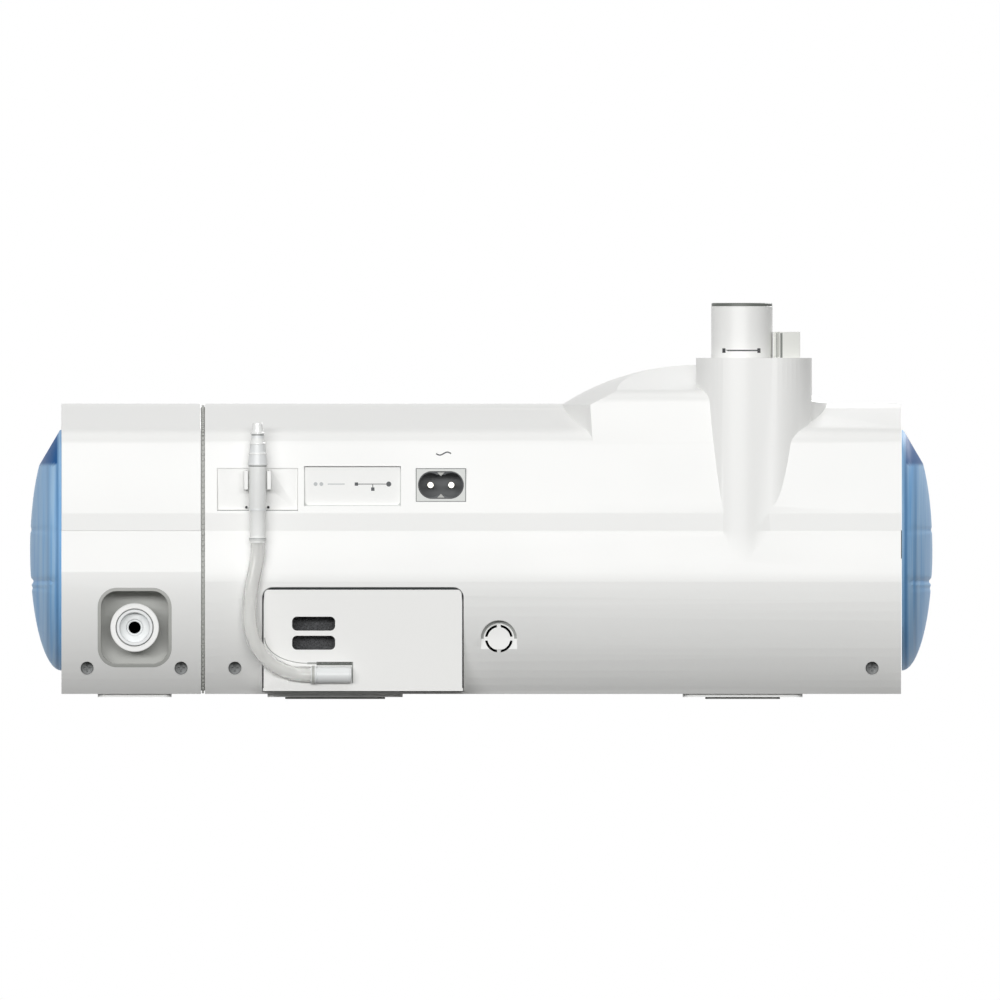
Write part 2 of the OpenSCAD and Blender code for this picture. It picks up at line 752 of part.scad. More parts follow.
// Ribs in the cover that hold the filters' edges
filter_x0 = bay_x0 + 2.5;
filter_x1 = bay_x1 - 2.5;
filter_z0 = bay_z0 + 2.5;
filter_z1 = bay_z1 - 2.5;
filter_y1 = rear_y - 13.4;
module cover_ribs() {
    for (x = [filter_x0 - 1.6, filter_x1])
        block(x, x + 1.6, filter_y1 - coarse_t - fine_t, rear_y, filter_z0, filter_z1);
}
module coarse_filter()
    color("#6c7276") block(filter_x0, filter_x1, filter_y1 - coarse_t, filter_y1, filter_z0, filter_z1);
module fine_filter()
    color("#e9ebe9") block(filter_x0, filter_x1, filter_y1 - coarse_t - fine_t, filter_y1 - coarse_t,
        filter_z0, filter_z1);

// Filter bay: the box in the housing behind the filters, with a round way to the blower
bay_y0 = filter_y1 - coarse_t - fine_t - 10;
bay_flange = 6;
bay_flange_l = cover_x0 - vent_x - vent_boss_r - 0.5;
intake_x = cover_x;
intake_z = 24.6;
module filter_bay() {
    color(pale) difference() {
        union() {
            intersection() {
                block(bay_x0 - bay_wall, bay_x1 + bay_wall, bay_y0, rear_y, bay_z0 - bay_wall,
                    bay_z1 + bay_wall);
                along_x(cover_x0, cover_x1) lower_outline(cover_wall + 1.5);
            }
            intersection() {
                block(cover_x0 - bay_flange_l, cover_x1 + bay_flange,
                    cover_low_y - cover_depth - 2, rear_y,
                    cover_z0 + 2, cover_z1 + 4);
                difference() {
                    along_x(cover_x0 - 6, cover_x1 + 6) lower_outline(wall + 0.1);
                    along_x(cover_x0 - 7, cover_x1 + 7) lower_outline(skirt_depth + 2.5);
                    difference() {
                        along_x(cover_x0 - 2, cover_x1 + 2) square(200, center = true);
                        along_x(cover_x0 - 3, cover_x1 + 3) lower_outline(skirt_depth + 0.5);
                    }
                }
            }
        }
        block(bay_x0, bay_x1, bay_y0 + bay_wall, rear_y + 5, bay_z0, bay_z1);
        rod_y(intake_x, intake_z, duct_r - duct_wall, bay_y0 - 1, bay_y0 + bay_wall + 1);
    }
}

// Outlet tube: a 22 mm socket with a thin lip and a keyed base
lip_h = 2.1;
module outlet_tube() {
    color(pale) difference() {
        union() {
            rod_z(outlet_x, tower_y, outlet_r, sleeve_z, outlet_z - lip_h);
            rod_z(outlet_x, tower_y, outlet_r - 0.9, outlet_z - lip_h - eps, outlet_z);
        }
        rod_z(outlet_x, tower_y, socket_r, outlet_z - 24, outlet_z + 1);
        rod_z(outlet_x, tower_y, socket_r - 1.7, sleeve_z - 1, outlet_z);
        block(outlet_x - 7.5, outlet_x + 7.9, tower_y + outlet_r - 0.8, tower_y + outlet_r + 1,
            tower_z + 0.4, tower_z + 4.1);
    }
}
module outlet_seal() {
    color(dark) difference() {
        rod_z(outlet_x, tower_y, outlet_r + move_gap, sleeve_z - 4, sleeve_z - 0.4);
        rod_z(outlet_x, tower_y, socket_r - 1.7, sleeve_z - 5, sleeve_z);
    }
}
// Connector block for a heated tube, beside the outlet tube
module tube_connector() {
    color(pale) difference() {
        translate([connector_x, tower_y, tower_z - 9]) linear_extrude(connector_z - tower_z + 9)
            square([connector_l, connector_w], center = true);
        translate([connector_x + connector_l / 2, tower_y + connector_w / 2, tower_z + 0.5])
            cylinder(r = 2.6, h = 20);
        for (y = [-3, 0, 3]) rod_z(connector_x, tower_y + y, 0.9, connector_z - 6, connector_z + 1);
    }
    color(metal) for (y = [-3, 0, 3]) rod_z(connector_x, tower_y + y, 0.9, connector_z - 9,
        connector_z - 2);
}

// Ducts are round tubes that meet in slightly fuller round knuckles
knuckle = 0.8;
module pipe_z(x, y, z0, z1) {
    difference() {
        rod_z(x, y, duct_r, z0, z1);
        rod_z(x, y, duct_r - duct_wall, z0 - 1, z1 + 1);
    }
}
port_y = [18, -24];
port_z = 60;
port_x = tank_x1 + 6;
duct_z = 92;
// From the port plate up, along over the tank and up into the tower
module outlet_duct() {
    color(pale) difference() {
        outlet_duct_form(duct_r);
        outlet_duct_form(duct_r - duct_wall, 1);
    }
}
riser_x = port_x + 16;
module outlet_duct_form(r, over = 0) {
    rod_x(port_y[0], port_z, r, port_x - over, riser_x);
    translate([riser_x, port_y[0], port_z]) sphere(r + knuckle);
    rod_z(riser_x, port_y[0], r, port_z, duct_z);
    translate([riser_x, port_y[0], duct_z]) sphere(r + knuckle);
    run = [outlet_x - riser_x, tower_y - port_y[0]];
    translate([riser_x, port_y[0], duct_z]) rotate([0, 0, atan2(run[1], run[0])]) rotate([0, 90, 0])
        cylinder(r = r, h = norm(run));
    translate([outlet_x, tower_y, duct_z]) sphere(r + knuckle);
    rod_z(outlet_x, tower_y, r, duct_z, sleeve_z - 4 + over);
}

// Tank bay: a box open at the tank end, with the heater in its floor
module tank_bay() {
    color(pale) difference() {
        block(main_x0 + wall, tank_x1 + 1.2 + bay_wall, mouth_y0 - bay_wall, mouth_y1 + bay_wall,
            mouth_z0 - bay_wall, mouth_z1 + bay_wall);
        block(main_x0, tank_x1 + 1.2, mouth_y0, mouth_y1, mouth_z0, mouth_z1);
        rod_z(tank_x, tank_y, heat_r + 1, 0, mouth_z0 + 1);
        for (y = port_y) rod_x(y, port_z, duct_r, tank_x1, tank_x1 + 10);
    }
}
tank_x = tank_x1 - tank_len / 2;
// Port plate and its soft seals close the inner end of the bay
module port_plate() {
    color(pale) difference() {
        union() {
            block(tank_x1 + 1.2 + bay_wall, port_x, port_y[1] - 15, port_y[0] + 15, port_z - 14,
                port_z + 14);
        }
        for (y = port_y) rod_x(y, port_z, duct_r - duct_wall, tank_x1, port_x + 1);
    }
}
module port_seals() {
    color(dark) for (y = port_y) difference() {
        rod_x(y, port_z, duct_r, tank_x1 + 0.5, tank_x1 + 1.2 + bay_wall);
        rod_x(y, port_z, duct_r - 3, tank_x1, tank_x1 + 5);
    }
}
heat_t = 3;
heater_z1 = tank_z0 - move_gap;
module heater_plate() {
    color(metal) {
        rod_z(tank_x, tank_y, heat_r, heater_z1 - heat_t, heater_z1);
        rod_z(tank_x, tank_y, heat_r - 12, heater_z1 - heat_t - 2, heater_z1 - heat_t + eps);
    }
}
module heater_frame() {
    color(dark) {
        difference() {
            rod_z(tank_x, tank_y, heat_r + 6, body_bottom + wall, body_bottom + wall + 2);
            rod_z(tank_x, tank_y, 10, 0, 20);
        }
        for (a = [45 : 90 : 315]) translate([tank_x + 28 * cos(a), tank_y + 28 * sin(a),
            body_bottom + wall])
            cylinder(r = 2.4, h = heater_z1 - heat_t - heater_travel - 0.4 - body_bottom - wall);
    }
}
heater_travel = 1.2;

// Water tank: a clear tub with a metal floor plate, a lid with two ports and a seal
lid_h = 20;
tank_rim_z = tank_z1 - lid_h;
module tank_outline(inset = 0)
    translate([tank_x, tank_y]) round_rect(tank_len - 2 * inset, tank_w - 2 * inset, 8 - inset);
module tank_tub() {
    color(clear, 0.5) difference() {
        along_z(tank_z0, tank_rim_z) tank_outline();
        along_z(tank_z0 + tank_wall, tank_rim_z + 1) tank_outline(tank_wall);
        rod_z(tank_x, tank_y, heat_r - 1.5, tank_z0 - 1, tank_z0 + 5);
    }
}
module tank_plate() {
    color(metal) {
        rod_z(tank_x, tank_y, heat_r - 1.5, tank_z0, tank_z0 + 1.2);
        rod_z(tank_x, tank_y, heat_r + 1, tank_z0 + tank_wall, tank_z0 + tank_wall + 1);
        difference() {
            rod_z(tank_x, tank_y, heat_r - 1.5, tank_z0, tank_z0 + tank_wall + 1);
            rod_z(tank_x, tank_y, heat_r - 3, tank_z0 + 1, tank_z0 + 9);
        }
    }
}
module tank_seal() {
    color(grey) difference() {
        along_z(tank_rim_z, tank_rim_z + 1.5) tank_outline(0.2);
        along_z(tank_rim_z - 1, tank_rim_z + 3) tank_outline(tank_wall + 0.4);
    }
}
module tank_lid() {
    color(clear, 0.5) difference() {
        union() {
            along_z(tank_rim_z + 1.5, tank_z1) tank_outline();
            block(main_x0 - move_gap, main_x0 + 6, tank_y - 30, tank_y + 30, tank_rim_z + 4, tank_z1 - 4);
        }
        along_z(tank_rim_z, tank_z1 - tank_wall) tank_outline(tank_wall);
        for (y = port_y) rod_x(y, port_z, duct_r - 3, tank_x1 - 5, tank_x1 + 1);
    }
}

// Blower: two volute halves round an impeller, the motor on top, all on a soft mount
blower_x = 44;
blower_y = -16;
blower_z0 = 12;
blower_mid = 32;
blower_z1 = 48;
module volute_plan(inset) {
    translate([blower_x, blower_y]) circle(volute_r - inset, $fn = 96);
    translate([blower_x - volute_r - 12, blower_y - volute_r + inset])
        square([volute_r + 12, 22 - 2 * inset]);
}
module volute(z0, z1, floor_z0, floor_z1) {
    difference() {
        along_z(z0, z1) volute_plan(0);
        along_z(floor_z0, floor_z1) volute_plan(2.2);
    }
}
module blower_lower() {
    color(dark) difference() {
        volute(blower_z0, blower_mid, blower_z0 + 2.2, blower_mid + 1);
        rod_z(blower_x, blower_y, 13, blower_z0 - 1, blower_z0 + 3);
    }
}
module blower_upper() {
    color(dark) difference() {
        volute(blower_mid, blower_z1, blower_mid - 1, blower_z1 - 2.2);
        rod_z(blower_x, blower_y, shaft_r + 2, blower_z1 - 4, blower_z1 + 1);
    }
}
shaft_r = 2;
module impeller() {
    color(pale) {
        rod_z(blower_x, blower_y, shaft_r, blower_z0 + 8, blower_z1 + 16);
        rod_z(blower_x, blower_y, 7, blower_mid - 6, blower_mid + 6);
        rod_z(blower_x, blower_y, impeller_r, blower_mid + 4, blower_mid + 6);
        for (i = [0 : 8]) translate([blower_x, blower_y, blower_mid - 6]) rotate([0, 0, 40 * i])
            translate([6, -0.8, 0]) cube([impeller_r - 7, 1.6, 11]);
    }
}
module blower_motor() {
    color(metal) difference() {
        rod_z(blower_x, blower_y, 19, blower_z1, blower_z1 + 22);
        rod_z(blower_x, blower_y, shaft_r + run_gap, blower_z1 - 1, blower_z1 + 17);
    }
}
module blower_mount() {
    color(grey) difference() {
        rod_z(blower_x, blower_y, volute_r - 6, body_bottom + wall, blower_z0);
        rod_z(blower_x, blower_y, 13, body_bottom + wall - 1, blower_z0 + 1);
        block(blower_x - 13, blower_x + 13, blower_y, blower_y + volute_r, body_bottom + wall - 1,
            blower_z0 + 1);
    }
}
// Box duct from the filter bay, under the blower, to its eye
module intake_duct() {
    color(pale) difference() {
        block(intake_x - 14, intake_x + 14, blower_y + volute_r + 1, bay_y0, body_bottom + wall, 38);
        block(intake_x - 12, intake_x + 12, blower_y + volute_r - 1, bay_y0 - 2,
            body_bottom + wall + 2, 36);
        rod_y(intake_x, intake_z, duct_r - duct_wall, bay_y0 - 5, bay_y0 + 1);
    }
}
module blower_duct_form(r, over = 0) {
    x0 = blower_x - volute_r - 12;
    y = blower_y - volute_r + 11;
    z = (blower_z0 + blower_z1) / 2;
    translate([x0 - 12, y, z]) rotate([0, 90, 0]) cylinder(r = r, h = 12 + over);
    translate([x0 - 12, y, z]) sphere(r + knuckle);
    run = [port_x + 10 - x0 + 12, port_y[1] - y, port_z - z];
    translate([x0 - 12, y, z]) rotate([0, acos(run[2] / norm(run)), atan2(run[1], run[0])])
        cylinder(r = r, h = norm(run));
    translate([port_x + 10, port_y[1], port_z]) sphere(r + knuckle);
    rod_x(port_y[1], port_z, r, port_x - over, port_x + 10);
}
module blower_duct() {
    color(pale) difference() {
        blower_duct_form(duct_r);
        blower_duct_form(duct_r - duct_wall, 1);
    }
}

// Boards
power_z = 74;
board_t = 1.6;
power_x0 = port_x + 29.8;
power_y0 = 10;
power_y1 = 58;
module power_board() {
    color("#2f6b46") block(power_x0, main_x1 - 8, power_y0, power_y1, power_z, power_z + board_t);
    color(dark) {
        block(power_x0 + 1, power_x0 + 25, power_y0 + 6, power_y1 - 14, power_z + board_t, power_z + 20);
        block(main_x1 - 44.4, main_x1 - 18.4, power_y0 + 6, power_y1 - 18, power_z + board_t,
            power_z + 14);
        for (x = [30, 48]) rod_z(x, power_y0 + 14, 7, power_z + board_t, power_z + 22);
    }
}
module control_board() {
    color("#2f6b46") on_face(bezel_x, bezel_s, -13.6) linear_extrude(1.6)
        round_rect(bezel_w - 10, bezel_h - 10, 2);
}
module lcd_module() {
    color(dark) on_face(window_x, bezel_s, -8) linear_extrude(5.4)
        round_rect(window_w - 4, window_h - 4, 1);
}

// Front bezel with its window, knob and button holes
window_x = bezel_x - bezel_w / 2 + bezel_rim + window_w / 2;
knob_x = bezel_x + bezel_w / 2 - 32;
knob_s = bezel_s + 7;
small_r = 4.6;
start_r = 6.6;
button_s = bezel_s - 23;
mute_s = bezel_s + 28;
buttons = [[knob_x - 19, button_s, small_r], [knob_x, button_s - 1, start_r],
    [knob_x + 19, button_s, small_r], [knob_x + 23, mute_s, small_r]];
module front_bezel() {
    color(pale) difference() {
        on_face(bezel_x, bezel_s, -2.4) linear_extrude(bezel_t) round_rect(bezel_w - 0.4,
            bezel_h - 0.4, 7);
        on_face(bezel_x, bezel_s, -3) difference() {
            linear_extrude(1.6) square([bezel_w + 20, bezel_h + 20], center = true);
            linear_extrude(1.6) round_rect(bezel_w - 6.4, bezel_h - 6.4, 4);
        }
        on_face(window_x, bezel_s, -5) linear_extrude(10) round_rect(window_w, window_h, 3);
        for (b = buttons) on_face(b[0], b[1], -5) cylinder(r = b[2] + move_gap, h = 10);
        on_face(knob_x, knob_s, -5) cylinder(r = stem_r + 0.5, h = 10);
    }
}
module display_window() {
    color(dark, 0.8) on_face(window_x, bezel_s, -1.6) linear_extrude(2.1)
        round_rect(window_w, window_h, 3);
}
module button(i) {
    b = buttons[i];
    color(i == 1 ? blue : pale) {
        on_face(b[0], b[1], -4) cylinder(r = b[2], h = 5.8);
        on_face(b[0], b[1], -5) cylinder(r = b[2] + 1, h = 1.2);
    }
}
module home_button() button(0);
module start_button() button(1);
module ramp_button() button(2);
module mute_button() button(3);
// Silicone mat under the buttons, with a dome for each
module button_mat() {
    color(grey) for (b = buttons) {
        on_face(b[0], b[1], -12) cylinder(r = b[2] + 1.6, h = 1.5);
        on_face(b[0], b[1], -10.5) cylinder(r = b[2] - 1, h = 5.5 - button_travel - 0.3);
    }
}
stem_r = 3;
module encoder_body() {
    color(metal) difference() {
        on_face(knob_x, knob_s, -12) linear_extrude(7.5) round_rect(13, 13, 1);
        on_face(knob_x, knob_s, -10) cylinder(r = stem_r + run_gap, h = 20);
    }
}
module encoder_shaft() {
    color(metal) on_face(knob_x, knob_s, -10 + knob_travel + 0.2) cylinder(r = stem_r,
        h = 10 + knob_h - 3);
}
module knob() {
    color(grey) difference() {
        on_face(knob_x, knob_s, 0.6 + knob_travel + 0.4) {
            cylinder(r = knob_r, h = knob_h - 2);
            translate([0, 0, knob_h - 2]) cylinder(r1 = knob_r, r2 = knob_r - 2, h = 2);
        }
        on_face(knob_x, knob_s, 0) cylinder(r = stem_r + run_gap, h = knob_h - 2);
        for (i = [0 : 35]) on_face(knob_x, knob_s, 0)
            rotate([0, 0, 10 * i]) translate([knob_r + 0.5, 0, 0]) cylinder(r = 0.9,
                h = knob_h + 4, $fn = 24);
    }
}

// Add-on module
module recess_outline(grow = 0)
    translate([recess_x, fitting_z]) round_rect(recess_w + 2 * grow, recess_h + 2 * grow,
        recess_corner + grow);
recess_y = under_y(fitting_z) - 13;
module module_upper() {
    color(white) difference() {
        upper_solid(mod_x0, mod_x1);
        upper_inside(mod_x0, mod_x1);
    }
}
module module_lower() {
    color(white) difference() {
        union() {
            difference() {
                lower_solid(mod_x0, mod_x1);
                lower_inside(mod_x0, mod_x1);
            }
            translate([recess_x, 37, land_z]) linear_extrude(2) round_rect(30.6, 16, 3);
            translate([recess_x, -45, land_z]) linear_extrude(2) round_rect(30.6, 16, 3);
            screw_posts(mod_screws);
        }
        along_y(20, rear_y + 5) recess_outline();
        link_rods(0.1);
        screw_holes(mod_screws);
    }
}
module recess_liner() {
    color(grey) difference() {
        intersection() {
            along_y(recess_y - 2, rear_y) recess_outline();
            lower_solid(mod_x0, mod_x1);
        }
        along_y(recess_y, rear_y + 5) recess_outline(-1.4);
        rod_y(recess_x, fitting_z, gas_bore_r + 2, recess_y - 3, recess_y + 1);
    }
}
module gas_fitting() {
    color(pale) difference() {
        union() {
            rod_y(recess_x, fitting_z, fitting_r, recess_y, recess_y + 13.6);
            rod_y(recess_x, fitting_z, gas_bore_r + 2, recess_y - 10, recess_y + 1);
            rod_y(recess_x, fitting_z, collar_r - 0.4, recess_y, recess_y + 1);
        }
        rod_y(recess_x, fitting_z, gas_bore_r, recess_y - 11, recess_y + 14);
        rod_y(recess_x, fitting_z, 6.2, recess_y + 9, recess_y + 14);
        rod_y(recess_x, fitting_z, 3.4, recess_y + 8, recess_y + 14);
    }
}
module release_collar() {
    color(white) difference() {
        rod_y(recess_x, fitting_z, collar_r, recess_y + 1.3 + collar_travel, recess_y + 12.8);
        rod_y(recess_x, fitting_z, fitting_r + move_gap, recess_y, recess_y + 14);
    }
}
module module_tube() {
    color(clear) {
        difference() {
            rod_y(recess_x, fitting_z, gas_bore_r + 3.2, recess_y - 30, recess_y - 4);
            rod_y(recess_x, fitting_z, gas_bore_r + 2, recess_y - 31, recess_y - 3);
        }
    }
}
mod_board_z = 44;
mod_board_y0 = -30;
mod_board_y1 = 20;
mod_block_h = 12.4;
module module_board() {
    color("#2f6b46") block(mod_x0 + 12, mod_x1 - 8, mod_board_y0, mod_board_y1, mod_board_z,
        mod_board_z + board_t);
    color(dark) block(mod_x0 + 16, mod_x1 - 20, mod_board_y0 + 16, mod_board_y1 - 10,
        mod_board_z + board_t, mod_board_z + board_t + mod_block_h);
    color("#2f6b46") for (x = [mod_x0 + 14, mod_x1 - 14], y = [mod_board_y0 + 2, mod_board_y1 - 6])
        block(x, x + 4, y, y + 4, body_bottom + wall, mod_board_z);
}
module module_link() {
    color(grey) {
        link_rods();
    }
}
module link_rods(grow = 0) {
    rod_x(-10, 52, 9 + grow, main_x1 - wall - 6, mod_x0 + wall + 6);
    rod_x(-20, 24, 4 + grow, main_x1 - wall - 3, mod_x0 + wall + 3);
    rod_x(30, 24, 4 + grow, main_x1 - wall - 3, mod_x0 + wall + 3);
}
// Ribbed strip that closes the gap, set in from the shells' outsides
module gap_strip() {
    color(grey) along_x(main_x1, mod_x0) difference() {
        union() {
            outline(upper_in_pts, 1.4);
            lower_outline(1.4);
        }
        union() {
            outline(upper_in_pts, 5);
            lower_outline(5);
        }
    }
}

// Screws seen as dimples in the rear
module screws(xs) {
    for (x = xs) difference() {
        union() {
            rod_y(x, screw_z, screw_hole_r - 0.1, screw_y - 8, screw_y - 5);
            rod_y(x, screw_z, screw_shank_r, screw_y - 12, screw_y - 6);
        }
        along_y(screw_y - 6.2, rear_y) translate([x, screw_z]) {
            square([3, 0.8], center = true);
            square([0.8, 3], center = true);
        }
    }
}
module shell_screws() color(metal) screws(concat(main_screws, mod_screws));

upper_housing();
lower_housing();
rubber_feet();
front_bezel();
display_window();
lcd_module();
control_board();
power_board();
c8_inlet();
c8_pins();
comms_connectors();
comms_flap();
clip_plate();
oxygen_nipple();
oxygen_hose();
hose_barb();
filter_cover();
coarse_filter();
fine_filter();
filter_bay();
intake_duct();
blower_lower();
blower_upper();
blower_motor();
blower_mount();
impeller();
blower_duct();
outlet_duct();
outlet_seal();
outlet_tube();
tube_connector();
tank_bay();
port_plate();
port_seals();
heater_frame();
heater_plate();
tank_tub();
tank_plate();
tank_seal();
tank_lid();
tank_dome();
knob();
encoder_shaft();
encoder_body();
button_mat();
start_button();
home_button();
ramp_button();
mute_button();
module_upper();
module_lower();
module_dome();
recess_liner();
gas_fitting();
release_collar();
module_tube();
module_board();
module_link();
gap_strip();
shell_screws();
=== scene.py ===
# Rear view of a bench-top non-invasive ventilator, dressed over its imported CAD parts.
# Metres throughout; +X towards the gas module, +Y towards the rear with the sockets, +Z up.
import json
import math
import bpy
import bmesh
import numpy as np
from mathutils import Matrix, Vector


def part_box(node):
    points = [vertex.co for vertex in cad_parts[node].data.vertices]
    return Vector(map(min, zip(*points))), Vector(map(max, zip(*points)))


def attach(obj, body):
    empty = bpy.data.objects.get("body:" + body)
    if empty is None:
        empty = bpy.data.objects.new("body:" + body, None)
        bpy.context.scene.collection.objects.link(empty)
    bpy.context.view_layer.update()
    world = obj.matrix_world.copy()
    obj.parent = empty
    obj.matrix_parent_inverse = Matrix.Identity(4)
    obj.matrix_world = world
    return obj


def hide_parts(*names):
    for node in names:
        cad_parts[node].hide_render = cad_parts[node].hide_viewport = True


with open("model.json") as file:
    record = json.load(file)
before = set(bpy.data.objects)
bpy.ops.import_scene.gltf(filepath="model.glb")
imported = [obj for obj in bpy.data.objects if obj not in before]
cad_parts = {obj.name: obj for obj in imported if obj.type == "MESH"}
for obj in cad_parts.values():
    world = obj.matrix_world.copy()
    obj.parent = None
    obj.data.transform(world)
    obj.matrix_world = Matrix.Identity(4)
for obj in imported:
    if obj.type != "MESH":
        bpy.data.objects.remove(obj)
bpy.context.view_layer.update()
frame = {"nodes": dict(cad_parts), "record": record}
nodes = frame["nodes"]
nodeSlot = {entry["node"]: entry["material_slot"] for entry in frame["record"]["subparts"]}
nodeBody = {node: body for body, names in frame["record"]["behaviour"]["bodies"].items() for node in names}
mm = 0.001
print("frame loaded:", len(nodes), "nodes")

studio = {
    "acrossTheView": 0.414,  # metres seen across the picture
    "viewCentre": (-0.00776, 0.0712, 0.08239),
    "cameraAway": 6.0,
    "domeStrength": 0.28,  # light that the surroundings give
    "floorPaint": (0.17, 0.17, 0.167, 1), "floorGlow": 0.93,
    # name: place, aim, width, height, watts
    "lamps": {
        "keyRearLeft": ((0.9, 6.0, 1.1), (-0.02, 0.03, 0.08), 6.5, 0.9, 268.0),
        "softFront": ((-0.9, -1.8, 1.3), (0, 0, 0.08), 1.4, 0.9, 27.0),
        "softTop": ((0.0, 1.2, 2.6), (0, 0.05, 0.1), 2.6, 2.2, 15.0),
    },
}


def hexColour(code):
    # sRGB hex to linear RGBA
    parts = [int(code[i:i + 2], 16) / 255 for i in (1, 3, 5)]
    return tuple(c / 12.92 if c <= 0.04045 else ((c + 0.055) / 1.055) ** 2.4 for c in parts) + (1.0,)


def setNode(tree, node, settings=None, links=None):
    # A setting is one of the node's own properties, or else the value of the socket with that name or number
    for key, value in (settings or {}).items():
        if isinstance(key, str) and hasattr(node, key):
            setattr(node, key, value)
        else:
            node.inputs[key].default_value = value
    for key, source in (links or {}).items():
        tree.links.new(source, node.inputs[key])
    return node


def addNode(tree, kind, settings=None, links=None):
    return setNode(tree, tree.nodes.new(kind), settings, links)


def emptyTree(owner):
    owner.use_nodes = True
    owner.node_tree.nodes.clear()
    return owner.node_tree


def link(name, data):
    thing = bpy.data.objects.new(name, data)
    bpy.context.scene.collection.objects.link(thing)
    return thing


def addCamera():
    x, y, z = studio["viewCentre"]
    lens = bpy.data.cameras.new("rearView")
    lens.type, lens.ortho_scale = "ORTHO", studio["acrossTheView"]
    lens.clip_end = 50
    camera = link("rearView", lens)
    camera.location = (x, y + studio["cameraAway"], z)
    camera.rotation_euler = (math.pi / 2, 0, math.pi)
    bpy.context.scene.camera = camera


def addAreaLamp(name, place, aim, width, height, power):
    lamp = bpy.data.lights.new(name, "AREA")
    lamp.shape = "RECTANGLE"
    lamp.size, lamp.size_y, lamp.energy = width, height, power
    holder = link(name, lamp)
    holder.location = place
    direction = np.array(aim) - np.array(place)
    yaw = math.atan2(direction[1], direction[0]) - math.pi / 2
    pitch = math.atan2(direction[2], math.hypot(direction[0], direction[1]))
    holder.rotation_euler = (math.pi / 2 + pitch, 0, yaw)


def seenRay(tree):
    # 1 for a ray from the camera, off gloss or through clear plastic, and 0 for the light that falls on things
    path = tree.nodes.new("ShaderNodeLightPath")
    seen = addNode(tree, "ShaderNodeMath", {"operation": "MAXIMUM"},
                   {0: path.outputs["Is Camera Ray"], 1: path.outputs["Is Glossy Ray"]})
    return addNode(tree, "ShaderNodeMath", {"operation": "MAXIMUM"},
                   {0: seen.outputs[0], 1: path.outputs["Is Transmission Ray"]}).outputs[0]


def addWorld():
    # A plain grey dome that lights the object, and is white where it is seen
    world = bpy.data.worlds.new("studioDome")
    bpy.context.scene.world = world
    tree = emptyTree(world)
    white = hexColour("#ffffff")
    dome = addNode(tree, "ShaderNodeBackground", {"Color": white, "Strength": studio["domeStrength"]})
    plain = addNode(tree, "ShaderNodeBackground", {"Color": white, "Strength": 1.0})
    mix = addNode(tree, "ShaderNodeMixShader", None, {0: seenRay(tree), 1: dome.outputs[0], 2: plain.outputs[0]})
    addNode(tree, "ShaderNodeOutputWorld", None, {"Surface": mix.outputs[0]})


def addFloor():
    # A wide table plane, grey to the light and near white where it is seen out of the shadow
    mesh = bpy.data.meshes.new("studioFloor")
    under = -0.0002
    mesh.from_pydata([(-4, -4, under), (4, -4, under), (4, 9, under), (-4, 9, under)], [], [(0, 1, 2, 3)])
    floor = link("studioFloor", mesh)
    material = bpy.data.materials.new("paleFloorPaint")
    tree = emptyTree(material)
    paint = addNode(tree, "ShaderNodeBsdfDiffuse", {"Color": studio["floorPaint"]})
    glow = addNode(tree, "ShaderNodeEmission", {"Color": (1, 1, 1, 1), "Strength": studio["floorGlow"]})
    both = addNode(tree, "ShaderNodeAddShader", None, {0: paint.outputs[0], 1: glow.outputs[0]})
    mix = addNode(tree, "ShaderNodeMixShader", None, {0: seenRay(tree), 1: paint.outputs[0], 2: both.outputs[0]})
    addNode(tree, "ShaderNodeOutputMaterial", None, {"Surface": mix.outputs[0]})
    mesh.materials.append(material)


bpy.context.scene.view_settings.view_transform = "Standard"
addCamera()
addWorld()
addFloor()
for name, lampSettings in studio["lamps"].items():
    addAreaLamp(name, *lampSettings)
print("studio ready")


def startMaterial(name):
    material = bpy.data.materials.new(name)
    tree = emptyTree(material)
    shader = tree.nodes.new("ShaderNodeBsdfPrincipled")
    addNode(tree, "ShaderNodeOutputMaterial", None, {"Surface": shader.outputs["BSDF"]})
    return material, tree, shader, tree.nodes.new("ShaderNodeTexCoord").outputs["Object"]


def mouldedPlastic(name, colour, roughness, grain=0.0006, relief=0.012, shade="#d9dcdc", coat=0.0):
    # A spark-eroded tool leaves an even grain of about 0.1 mm, drawn at 0.6 mm so that it shows. Colour and gloss
    # wander a little with the flow of the melt, over 70 mm.
    material, tree, shader, place = startMaterial(name)
    flow = addNode(tree, "ShaderNodeTexNoise", {"Scale": 1 / 0.07, "Detail": 2.0}, {"Vector": place}).outputs["Fac"]
    tint = addNode(tree, "ShaderNodeMapRange", {"To Min": 0.0, "To Max": 0.16}, {"Value": flow})
    blend = addNode(tree, "ShaderNodeMix", {"data_type": "RGBA", 6: hexColour(colour), 7: hexColour(shade)},
                    {0: tint.outputs["Result"]})
    gloss = addNode(tree, "ShaderNodeMapRange", {"To Min": roughness - 0.05, "To Max": roughness + 0.05},
                    {"Value": flow})
    spark = addNode(tree, "ShaderNodeTexNoise", {"Scale": 1 / grain, "Detail": 1.0}, {"Vector": place})
    bump = addNode(tree, "ShaderNodeBump", {"Strength": relief, "Distance": 0.0002}, {"Height": spark.outputs["Fac"]})
    setNode(tree, shader, {"IOR": 1.53, "Coat Weight": coat, "Coat Roughness": 0.12},
            {"Base Color": blend.outputs[2], "Roughness": gloss.outputs["Result"], "Normal": bump.outputs["Normal"]})
    return material


